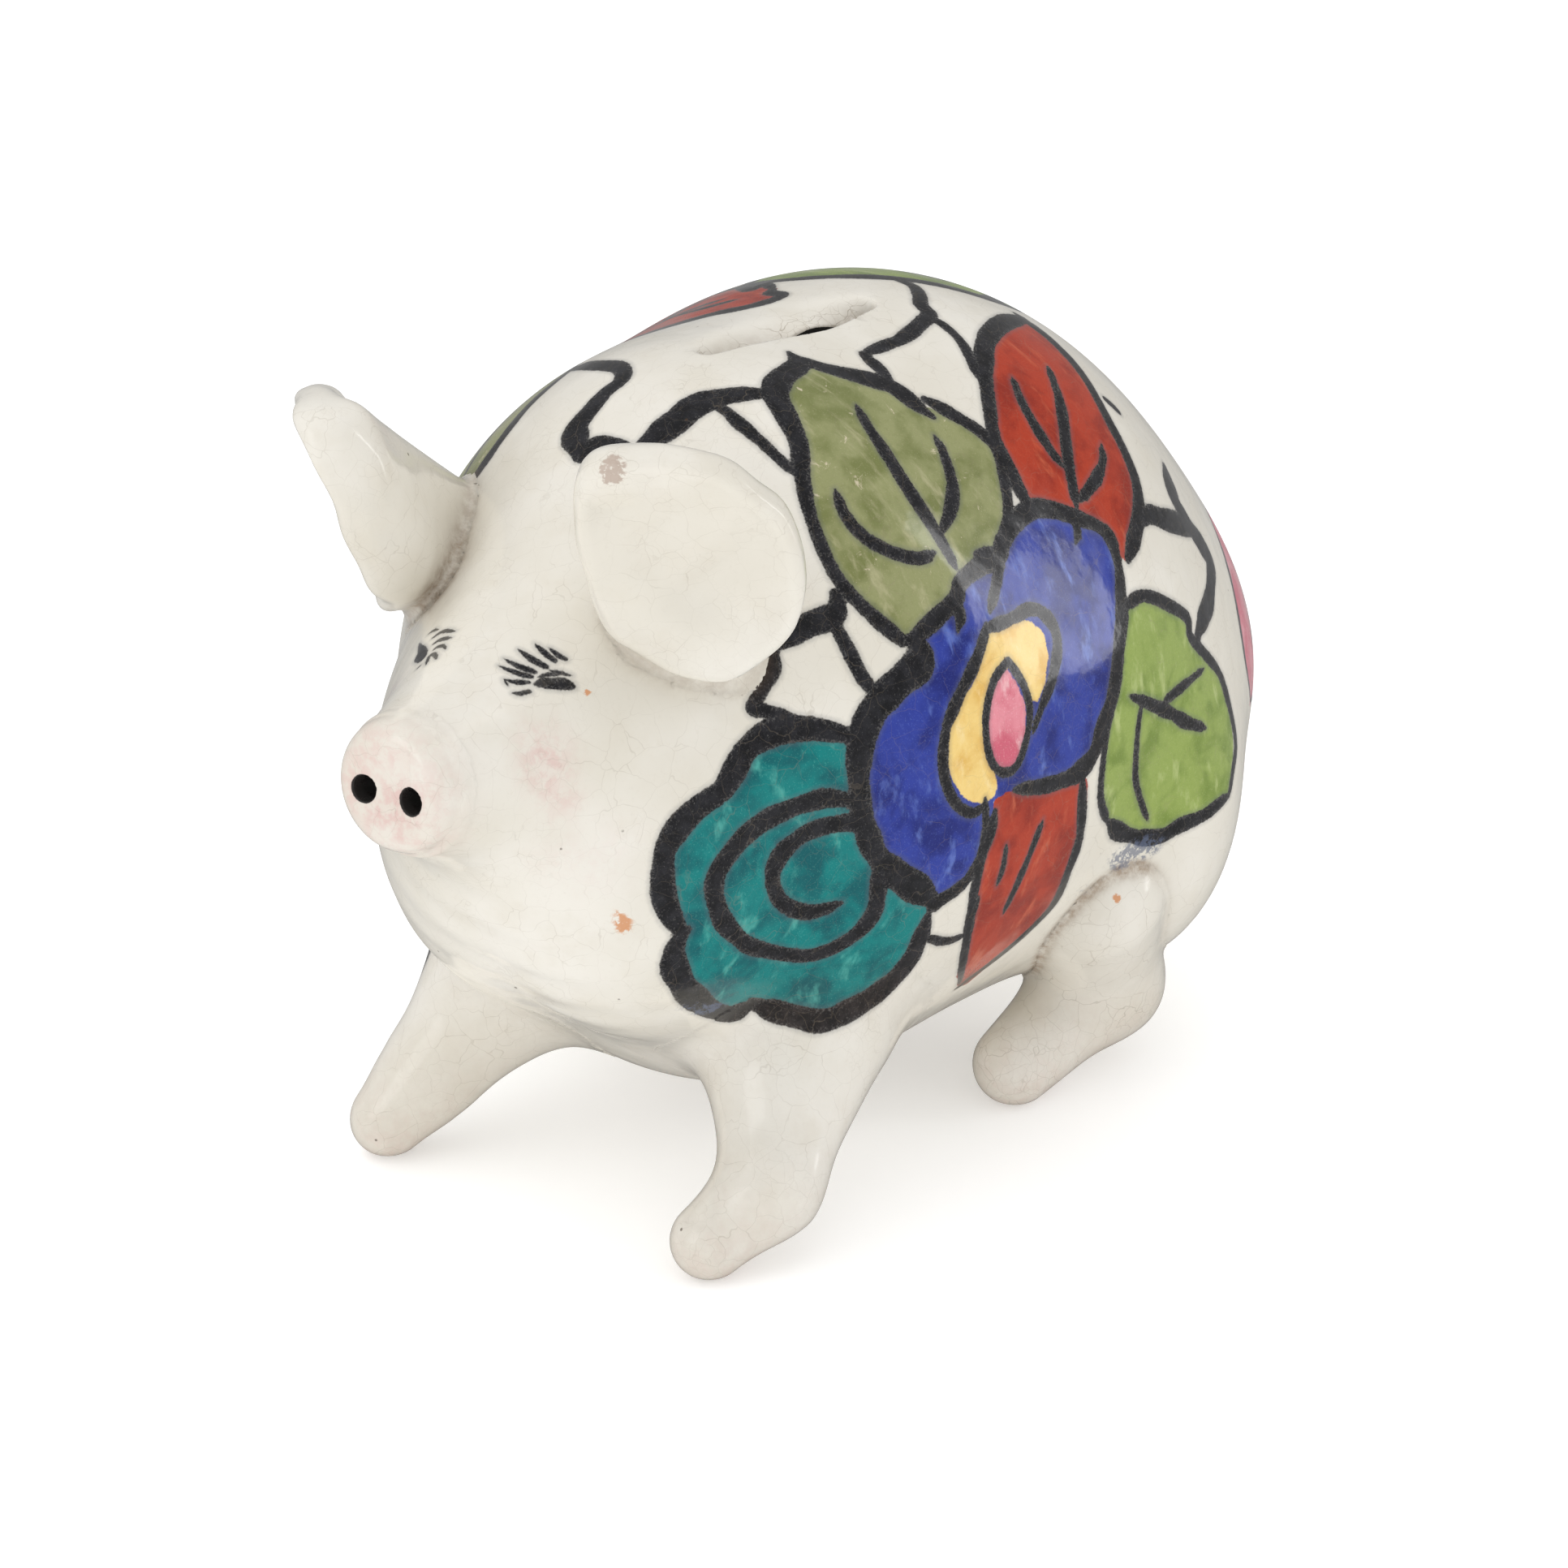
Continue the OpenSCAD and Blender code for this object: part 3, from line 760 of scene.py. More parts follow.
s.line([(1484, 823), (1462, 842), (1437, 862)], [1.0, 1.4, 1.8], (0.3, 0.8))
s.line([(1407, 866), (1402, 900), (1399, 956), (1405, 985), (1415, 1012)], [1.4, 1.3, 1.2, 1.0], (0.5, 0.3))
# stems
s.line([(1030, 732), (1032, 745), (1026, 759), (1001, 768), (974, 782), (952, 795), (950, 810), (951, 826), (944, 842), (936, 856), (928, 872), (942, 876), (960, 881), (992, 899)],
       [3.2, 3.4, 3.4, 2.8, 2.4, 2.2, 2.0, 1.9, 1.9, 2.2])
s.line([(1024, 761), (1034, 780), (1046, 802), (1060, 830), (1076, 852)], [1.8, 2.0, 2.0, 2.2], (0.8, 0.6))
s = TOPS
s.line([(788, 552), (805, 540), (822, 527), (838, 515), (850, 504), (873, 493), (909, 486), (948, 484)], [4.0, 4.4, 4.4, 4.2, 3.6, 2.9, 2.5])
s.line([(880, 498), (896, 508), (909, 520), (926, 534), (946, 552), (980, 584)], [1.7, 2.0, 1.7, 1.6], (0.8, 0.4))
s.line([(1435, 574), (1441, 594), (1447, 614), (1458, 634), (1468, 652), (1480, 670), (1491, 692), (1492, 714), (1490, 740), (1482, 762), (1475, 782)],
       [2.6, 4.4, 3.4, 3.4, 4.4, 3.6, 3.4, 3.6, 3.8, 3.6], (0.5, 0.5))
s.line([(1409, 642), (1418, 634), (1434, 640), (1450, 644), (1466, 652)], [2.6, 3.2, 3.6, 3.6, 3.0], (0.6, 0.8))
s.line([(1476, 756), (1478, 770), (1476, 784)], [1.4, 2.4, 2.6], (0.4, 0.8))

n = NEAR
# face
for a, b, w in [((697, 812), (676, 798), 0.8), ((684, 814), (659, 793), 0.9), ((673, 822), (638, 800), 0.95), ((659, 828), (620, 811), 0.85),
                ((655, 834), (614, 820), 0.8), ((651, 841), (621, 837), 0.8), ((652, 852), (631, 854), 0.75)]:
    m = ((a[0] + b[0]) / 2, (a[1] + b[1]) / 2 + 1.5)
    n.line([a, m, b], [w * 1.15, w, w * 0.42], (0.7, 0.3))
n.line([(621, 837), (626, 845)], [0.5, 0.3], (0.6, 0.3))
n.blob([(656, 843), (668, 834), (680, 835), (695, 834), (707, 841), (709, 849), (694, 851), (680, 850), (667, 848)])
n.line([(677, 826), (690, 829), (705, 833)], [0.5, 0.7, 0.4], (0.4, 0.3))
n.line([(662, 835), (676, 831), (690, 832)], [0.4, 0.7, 0.5], (0.4, 0.3))
for pts in ([(540, 776), (534, 777), (528, 781)], [(561, 778), (546, 778), (533, 786)], [(556, 786), (543, 788), (533, 794)],
            [(549, 800), (546, 796), (539, 797), (534, 801)], [(538, 812), (535, 806), (529, 809), (525, 819)]):
    n.line(pts, [0.55, 0.75, 0.6], (0.4, 0.5))
n.blob([(517, 792), (524, 796), (528, 801), (524, 810), (516, 817), (510, 815), (514, 806), (515, 798)])
n.line([(518, 820), (514, 824)], 0.45, (0.5, 0.4))
# head branch
n.line([(704, 456), (716, 451), (736, 450), (757, 451), (767, 456), (766, 468), (749, 481), (738, 492), (728, 504), (716, 518), (708, 532), (711, 546), (715, 562)],
       [3.0, 2.7, 2.6, 2.8, 2.8, 2.6, 2.6, 2.8, 3.2, 3.8, 4.2, 4.0])
n.line([(714, 562), (722, 562), (728, 556), (733, 549), (745, 547), (760, 549), (784, 556)], [3.4, 3.0, 2.4, 2.2, 2.2])
# beside the slot
n.line([(1104, 345), (1125, 352), (1133, 364), (1135, 376), (1145, 387), (1134, 399), (1112, 417), (1092, 425), (1064, 436)], [1.8, 2.1, 2.3, 2.5, 2.5, 2.2, 2.2])
n.line([(1064, 436), (1072, 444), (1080, 451), (1088, 459), (1096, 468)], [1.9, 2.3, 2.5, 2.2], (0.8, 0.6))
n.line([(1145, 390), (1162, 400), (1180, 416), (1190, 430), (1197, 445), (1209, 470)], [1.8, 1.7, 1.7, 1.8], (0.7, 0.5))
n.line([(1362, 492), (1370, 499), (1378, 507)], 2.2, (0.6, 0.6))


# leaves beyond the crown, whose near edges show along it
FAR = Paint()


def leaf(paint, name, A, B, edge, far, veins=(), w=2.4):
    """A leaf lying beyond the line from A to B: edge and far are its near and far outlines, in mm along and across."""
    fr = frame_at(A, B)
    paint.fill(name, list(edge) + list(far)[::-1], fr)
    paint.line(edge, [w * 0.7, w, w * 1.1, w, w * 0.8], fr=fr)
    paint.line(far, [w * 0.8, w, w, w * 0.8], fr=fr)
    for v in veins:
        paint.line(v, [1.0, 1.7, 1.2], (0.3, 0.3), fr=fr)


A1, B1 = onto([(800, 410), (946, 372)])
leaf(FAR, "red", A1, B1, [(-8, 7), (-4, 2), (2, 0.2), (8, 0.0), (13, -0.5), (16.5, 0.4), (18.4, 2.0), (17.4, 4.2), (18.2, 6.0)],
     [(-8, 7), (-6, 13), (0, 18), (8, 20), (14, 16), (17.6, 11), (18.2, 6.0)],
     ([(-4, 9), (4, 10), (12, 8)], [(3, 10), (7, 14), (11, 15)], [(5, 9), (9, 6), (13, 5)]))
A2, B2 = onto([(1012, 340), (1215, 367)])
leaf(FAR, "lime", A2, B2, [(-9, 5), (-5, 1), (1, -1.0), (8, -1.6), (16, -1.2), (22, -0.2), (27, 3)],
     [(-9, 5), (-7, 12), (0, 18), (9, 20), (19, 16), (25, 10), (27, 4)],
     ([(-3, 8), (8, 10), (19, 8)], [(4, 10), (8, 14), (13, 15)], [(9, 9), (14, 6), (19, 5)]))
A3, B3 = onto([(622, 536), (708, 454)])
leaf(FAR, "olive", A3, B3, [(-12, 6), (-6, 1.5), (0, 0.2), (6, 0.3), (11, 0.4), (15, 2.0)],
     [(-12, 6), (-9, 12), (-1, 15), (7, 13), (13, 8), (15, 2.0)],
     ([(-6, 7), (1, 8), (9, 6)],))
# a pink flower on the rump, whose near edge shows at the silhouette
A4, B4 = onto([(1500, 664), (1536, 838)])
leaf(n, "pink", A4, B4, [(-6, 6), (-3, 2.5), (3, 0.2), (9, -0.9), (14, -0.9), (18, 0.4), (22, 4)],
     [(-6, 6), (-5, 12), (0, 17), (9, 19), (17, 15), (21, 10), (22, 4)],
     ([(3, 8), (9, 10), (15, 8)], [(6, 12), (10, 14), (14, 12)]), 0.9)
n.line([(1216, 367), (1234, 369), (1252, 374)], [2.6, 3.0], (0.8, 0.6))
n.line([(913, 352), (924, 357), (938, 351)], [2.0, 2.4], (0.7, 0.6))


t0 = time.time()


# ------------------------------------------------------------------ pieces
def make(name, V, T, attrs, mat, slot, *nodes, normals=None):
    me = bpy.data.meshes.new(name)
    me.vertices.add(len(V))
    me.vertices.foreach_set("co", (np.asarray(V) * MM).astype(F32).ravel())
    me.loops.add(len(T) * 3)
    me.loops.foreach_set("vertex_index", T.astype(np.int32).ravel())
    me.polygons.add(len(T))
    me.polygons.foreach_set("loop_start", (np.arange(len(T)) * 3).astype(np.int32))
    me.polygons.foreach_set("use_smooth", np.ones(len(T), bool))
    me.update(calc_edges=True)
    me.validate()
    for k, v in attrs.items():
        a = me.attributes.new(k, "FLOAT", "POINT")
        a.data.foreach_set("value", np.asarray(v, F32))
    if normals is not None:
        me.normals_split_custom_set_from_vertices(normals.tolist())
    ob = bpy.data.objects.new(name, me)
    bpy.context.scene.collection.objects.link(ob)
    me.materials.append(mat)
    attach(ob, "root")
    if nodes:
        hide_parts(*nodes)
    return ob


# ------------------------------------------------------------------ far side and back
# Points on the far flank are carried to the near flank, turned a little, so
# that the same hand has painted the other side slightly differently.
FAR_TURN = math.radians(-4.0)
FAR_ROLL = math.radians(-3.0)
FAR_BACK = 18.0
FAR_SWAP = {"olive": "red", "red": "lime", "lime": "olive", "blue": "pink", "pink": "yellow", "yellow": "blue", "teal": "teal"}


def carry(P):
    q = P * np.array([-1, 1, 1.0])
    o = np.array([0, 10.0, 57.0])
    q = q - o - np.array([0, FAR_BACK, 0])
    c, s_ = math.cos(FAR_TURN), math.sin(FAR_TURN)
    q = np.stack([q[:, 0], c * q[:, 1] - s_ * q[:, 2], s_ * q[:, 1] + c * q[:, 2]], 1)
    c, s_ = math.cos(FAR_ROLL), math.sin(FAR_ROLL)
    q = np.stack([c * q[:, 0] + s_ * q[:, 2], q[:, 1], -s_ * q[:, 0] + c * q[:, 2]], 1) + o
    return project(skin_f, q, 4, 4.0)


def painted(P):
    """Every painting attribute at surface points."""
    N = grad(skin_f, P)
    N /= np.linalg.norm(N, axis=1)[:, None] + 1e-9
    X = P.astype(F32)
    outer = body_f(X) > -2.5
    A = {k: np.full(len(P), CLIP) for k in ("line",) + COLOURS}
    fine = np.full(len(P), 9.0)
    i = np.where(outer & (P[:, 0] > -28))[0]
    for pt in (SIDE, TOPS, NEAR):
        a, f = lay(pt, P[i], N[i])
        for k in A:
            A[k][i] = np.minimum(A[k][i], a[k])
        fine[i] = np.minimum(fine[i], f)
    i = np.where(outer & (P[:, 0] < 16))[0]
    a, f = lay(FAR, P[i], N[i])
    for k in A:
        A[k][i] = np.minimum(A[k][i], a[k])
    fine[i] = np.minimum(fine[i], f)
    i = np.where(outer & (P[:, 0] < 4))[0]
    Q = carry(P[i])
    M = grad(skin_f, Q)
    M /= np.linalg.norm(M, axis=1)[:, None] + 1e-9
    a, f = lay(SIDE, Q, M)
    A["line"][i] = np.minimum(A["line"][i], a["line"])
    for k in COLOURS:
        t = FAR_SWAP[k]
        A[t][i] = np.minimum(A[t][i], a[k])
    fine[i] = np.minimum(fine[i], f)
    return A, fine


# ------------------------------------------------------------------ glaze
def lin(r, g, b):
    f = lambda v: (v / 255) / 12.92 if v / 255 <= 0.04045 else ((v / 255 + 0.055) / 1.055) ** 2.4
    return (f(r), f(g), f(b), 1.0)


class Nodes:
    def __init__(self, name):
        self.mat = bpy.data.materials.new(name)
        self.mat.use_nodes = True
        self.t = self.mat.node_tree
        self.t.nodes.clear()
        self.out = self.t.nodes.new("ShaderNodeOutputMaterial")
        self.bsdf = self.t.nodes.new("ShaderNodeBsdfPrincipled")
        self.t.links.new(self.bsdf.outputs[0], self.out.inputs[0])

    def put(self, sock, v):
        if hasattr(v, "links") or hasattr(v, "is_output"):
            self.t.links.new(v, sock)
        else:
            sock.default_value = v

    def attr(self, name):
        n = self.t.nodes.new("ShaderNodeAttribute")
        n.attribute_name = name
        return n.outputs["Fac"]

    def coord(self, scale=(1000, 1000, 1000), turn=(0, 0, 0)):
        c = self.t.nodes.new("ShaderNodeTexCoord")
        m = self.t.nodes.new("ShaderNodeMapping")
        m.inputs["Scale"].default_value = scale
        m.inputs["Rotation"].default_value = turn
        self.t.links.new(c.outputs["Object"], m.inputs["Vector"])
        return m.outputs[0]

    def noise(self, vec, scale, detail=2.0, rough=0.5, dist=0.0):
        n = self.t.nodes.new("ShaderNodeTexNoise")
        self.put(n.inputs["Vector"], vec)
        n.inputs["Scale"].default_value = scale
        n.inputs["Detail"].default_value = detail
        n.inputs["Roughness"].default_value = rough
        n.inputs["Distortion"].default_value = dist
        return n.outputs["Fac"]

    def cells(self, vec, scale, feature="DISTANCE_TO_EDGE", jitter=1.0):
        n = self.t.nodes.new("ShaderNodeTexVoronoi")
        n.feature = feature
        self.put(n.inputs["Vector"], vec)
        n.inputs["Scale"].default_value = scale
        n.inputs["Randomness"].default_value = jitter
        return n.outputs["Distance"]

    def math(self, op, a, b=0.0, clamp=False):
        n = self.t.nodes.new("ShaderNodeMath")
        n.operation = op
        n.use_clamp = clamp
        self.put(n.inputs[0], a)
        self.put(n.inputs[1], b)
        return n.outputs[0]

    def ramp(self, v, a, b, lo=0.0, hi=1.0):
        """Smoothly from lo where v is a to hi where v is b."""
        n = self.t.nodes.new("ShaderNodeMapRange")
        n.interpolation_type = "SMOOTHSTEP"
        self.put(n.inputs["Value"], v)
        self.put(n.inputs["From Min"], a)
        self.put(n.inputs["From Max"], b)
        self.put(n.inputs["To Min"], lo)
        self.put(n.inputs["To Max"], hi)
        return n.outputs[0]

    def mix(self, fac, a, b, blend="MIX"):
        n = self.t.nodes.new("ShaderNodeMix")
        n.data_type = "RGBA"
        n.blend_type = blend
        self.put(n.inputs[0], fac)
        self.put(n.inputs[6], a)
        self.put(n.inputs[7], b)
        return n.outputs[2]

    def vary(self, v, lo, hi):
        return self.mix(v, lo, hi)


def glaze(name, paint=False, snout=False):
    m = Nodes(name)
    P = m.coord()
    big = m.noise(P, 0.035, 3, 0.55)
    mid = m.noise(P, 0.16, 3, 0.6)
    fin = m.noise(P, 1.6, 3, 0.6)
    tiny = m.noise(P, 4.5, 2, 0.6)
    cream = m.mix(m.ramp(big, 0.38, 0.64), lin(222, 217, 205), lin(231, 227, 218))
    cream = m.mix(m.ramp(mid, 0.45, 0.75, 0, 0.35), cream, lin(216, 209, 194))
    cream = m.mix(m.ramp(fin, 0.55, 0.8, 0, 0.18), cream, lin(205, 197, 182))
    col = cream
    # pink warmth: cheeks, ears, feet, snout
    blush = m.attr("blush")
    bl = m.math("MULTIPLY", blush, m.ramp(mid, 0.3, 0.62, 0.35, 1.0))
    bl = m.math("MULTIPLY", bl, m.ramp(m.noise(P, 0.6, 3, 0.65), 0.36, 0.62, 0.25, 1.0))
    col = m.mix(m.math("MULTIPLY", bl, 0.62, True), col, lin(214, 160, 158))
    rough = m.ramp(mid, 0.3, 0.75, 0.13, 0.24)
    if paint:
        wob = m.math("MULTIPLY", m.math("SUBTRACT", m.noise(P, 0.55, 3, 0.6), 0.5), 1.1)
        rag = m.math("MULTIPLY", m.math("SUBTRACT", m.noise(P, 2.8, 2, 0.7), 0.5), 0.42)
        streak = m.noise(m.coord((1000, 1000, 1000), (0.5, 0.3, 0.9)), 0.17, 3, 0.55, 0.3)
        streak2 = m.noise(m.coord((300, 1900, 800), (0.7, -0.25, 0.5)), 0.2, 4, 0.6, 0.15)

        def layer(col, key, dark, body, light, lo=0.34, hi=0.68, gap=0.55, thin=0.0):
            d = m.math("ADD", m.attr(key), m.math("ADD", wob, rag))
            mask = m.ramp(d, 0.46, 0.20)
            c = m.mix(m.ramp(streak, lo, 0.6), dark, body)
            c = m.mix(m.ramp(streak2, gap, hi + 0.06, 0, 0.75), c, light)
            c = m.mix(m.ramp(fin, 0.46, 0.74, 0, 0.2), c, dark)
            c = m.mix(m.ramp(tiny, 0.56, 0.72, 0, 0.28), c, light)
            if thin:
                c = m.mix(m.ramp(m.noise(P, 0.42, 4, 0.72, 0.8), 0.62, 0.72, 0, thin), c, lin(222, 208, 182))
            return m.mix(mask, col, c)
        col = layer(col, "olive", lin(118, 124, 74), lin(147, 150, 104), lin(180, 176, 138), thin=0.7)
        col = layer(col, "red", lin(142, 38, 20), lin(174, 58, 33), lin(200, 96, 64))
        col = layer(col, "lime", lin(116, 138, 60), lin(145, 164, 84), lin(186, 198, 132))
        col = layer(col, "teal", lin(0, 88, 94), lin(5, 124, 122), lin(88, 178, 166))
        col = layer(col, "blue", lin(26, 36, 112), lin(46, 62, 152), lin(100, 122, 196))
        col = layer(col, "yellow", lin(222, 178, 92), lin(238, 206, 128), lin(244, 224, 172))
        col = layer(col, "pink", lin(204, 96, 116), lin(226, 142, 154), lin(246, 212, 212))
        # brush lines
        d0 = m.attr("line")
        ln = m.math("ADD", d0, m.math("ADD", m.math("MULTIPLY", m.math("SUBTRACT", m.noise(P, 0.9, 3, 0.6), 0.5), 0.34), m.math("MULTIPLY", rag, 0.8)))
        halo = m.ramp(ln, 0.75, 0.0, 0, 0.28)
        col = m.mix(halo, col, lin(92, 96, 104))
        mask = m.ramp(ln, 0.10, -0.14)
        dry = m.ramp(m.math("ADD", m.noise(P, 3.2, 3, 0.75), m.ramp(d0, -1.0, 0.1, 0, 0.17)), 0.56, 0.76, 0, 0.55)
        ink = m.mix(m.ramp(m.noise(P, 0.5, 3, 0.6), 0.35, 0.7), lin(19, 19, 22), lin(38, 38, 42))
        ink = m.mix(dry, ink, lin(104, 102, 100))
        col = m.mix(mask, col, ink)
    # brown grime and painted shade: darker in the joins between parts, down the slot walls and towards the feet
    grime_and_shade = m.attr("grime_and_shade")
    grime_and_shade_mix = m.math("MULTIPLY", grime_and_shade, m.ramp(m.noise(P, 0.5, 4, 0.7), 0.28, 0.7, 0.25, 1.0))
    col = m.mix(m.math("MULTIPLY", grime_and_shade_mix, 0.72, True), col, lin(128, 98, 66))
    # crazing
    warp = m.t.nodes.new("ShaderNodeVectorMath")
    warp.operation = "ADD"
    nz = m.t.nodes.new("ShaderNodeTexNoise")
    m.t.links.new(P, nz.inputs["Vector"])
    nz.inputs["Scale"].default_value = 0.35
    nz.inputs["Detail"].default_value = 2
    m.t.links.new(P, warp.inputs[0])
    sc = m.t.nodes.new("ShaderNodeVectorMath")
    sc.operation = "SCALE"
    sc.inputs["Scale"].default_value = 2.0
    m.t.links.new(nz.outputs["Color"], sc.inputs[0])
    m.t.links.new(sc.outputs[0], warp.inputs[1])
    c1 = m.cells(warp.outputs[0], 0.26)
    c2 = m.cells(warp.outputs[0], 0.62)
    k1 = m.ramp(c1, 0.014, 0.003)
    k2 = m.math("MULTIPLY", m.ramp(c2, 0.026, 0.006), m.ramp(m.noise(P, 0.09, 2, 0.5), 0.48, 0.6))
    craze = m.math("MAXIMUM", k1, m.math("MULTIPLY", k2, 0.7))
    craze = m.math("MULTIPLY", craze, m.math("ADD", m.ramp(mid, 0.35, 0.65, 0.05, 0.2), m.math("MULTIPLY", m.attr("crackle"), 0.5)))
    col = m.mix(craze, col, lin(140, 126, 106))
    # pits and iron specks
    sp = m.cells(P, 0.155, "F1")
    spot = m.ramp(sp, 0.045, 0.022)
    spot = m.math("MULTIPLY", spot, m.ramp(m.noise(P, 0.11, 1, 0.5), 0.52, 0.56))
    col = m.mix(m.math("MULTIPLY", spot, 0.75), col, lin(74, 54, 38))
    rust = m.attr("rust")
    col = m.mix(m.ramp(m.math("MULTIPLY", rust, m.ramp(m.noise(P, 1.4, 3, 0.7), 0.3, 0.6, 0.4, 1.4)), 0.35, 0.75, 0, 0.75), col, lin(204, 122, 36))
    smoke = m.attr("smoke")
    col = m.mix(m.ramp(m.math("MULTIPLY", smoke, m.ramp(m.noise(P, 1.1, 4, 0.75), 0.35, 0.62, 0.2, 1.5)), 0.3, 0.9, 0, 0.7), col, lin(88, 98, 122))
    worn = m.attr("worn")
    col = m.mix(m.ramp(m.math("MULTIPLY", worn, m.ramp(m.noise(P, 1.3, 3, 0.7), 0.3, 0.62, 0.55, 1.5)), 0.42, 0.72, 0, 0.72), col, lin(172, 150, 136))
    # near-black: the black paint inside the nostrils, and painted shade deep in the slot
    col = m.mix(m.ramp(m.math("ADD", m.attr("nostril_ink_and_slot_shade"), m.math("MULTIPLY", m.noise(P, 1.2, 2, 0.6), 0.25)), 0.52, 0.72, 0, 0.97), col, lin(14, 14, 16))
    b = m.bsdf
    m.put(b.inputs["Base Color"], col)
    m.put(b.inputs["Roughness"], rough)
    b.inputs["IOR"].default_value = 1.5
    b.inputs["Specular IOR Level"].default_value = 0.5
    b.inputs["Coat Weight"].default_value = 0.2
    b.inputs["Coat Roughness"].default_value = 0.06
    h = m.math("ADD", m.math("MULTIPLY", m.noise(P, 0.09, 2, 0.5), 1.0), m.math("MULTIPLY", m.noise(P, 0.45, 2, 0.5), 0.12))
    bu = m.t.nodes.new("ShaderNodeBump")
    bu.inputs["Strength"].default_value = 0.5
    bu.inputs["Distance"].default_value = 0.0006
    m.put(bu.inputs["Height"], m.math("SUBTRACT", h, m.math("MULTIPLY", craze, 0.03)))
    m.put(b.inputs["Normal"], bu.outputs[0])
    m.put(b.inputs["Coat Normal"], bu.outputs[0])
    return m.mat


LIMBS = [
    ("left_ear", lambda p: ear_f(p, 1), 3.5, (-3, -74, 68), (50, -24, 122)),
    ("right_ear", lambda p: ear_f(p, -1), 3.5, (-50, -74, 68), (3, -24, 122)),
    ("left_foreleg", lambda p: floor_cut(limb_f(p, LF), p), 9.2, (2, -66, -1), (48, -6, 50)),
    ("right_foreleg", lambda p: floor_cut(limb_f(p, RF), p), 9.2, (-46, -64, -1), (-1, -6, 50)),
    ("left_hind_leg", lambda p: floor_cut(limb_f(p, LH), p), 1.8, (14, -4, -1), (56, 50, 50)),
    ("right_hind_leg", lambda p: floor_cut(limb_f(p, RH), p), 1.8, (-56, -4, -1), (-14, 50, 50)),
    ("snout", lambda p: smax(snout_f(p), -nostrils(p), 0.5), 3.6, (-14, -88, 54), (14, -66, 88)),
    ("tail", tail_f, 1.5, (-12, 66, 48), (12, 86, 76)),
]


def spot_sum(P, spots):
    out = np.zeros(len(P))
    for c, r, a in spots:
        d = (P - np.asarray(c)) / np.asarray(r)
        out = np.maximum(out, a * np.exp(-(d * d).sum(1)))
    return out


def ear_point(px, side=1):
    """Where the sight line at a chart point first meets an ear."""
    d = -VB + ((px[0] - 966) / VF) * VR - ((px[1] - 966) / VF) * VU
    d = (d / np.linalg.norm(d))[None]
    return trace(VC, d, 500, 620, lambda p: ear_f(p, side))[0][0]


ear_spot = ear_point((754, 577))


EAR_FOOT = ear_point((533, 704), -1)
CREASE = onto([(1400, 1062), (1372, 1082), (1340, 1110), (1310, 1142), (1282, 1176), (1262, 1196)])


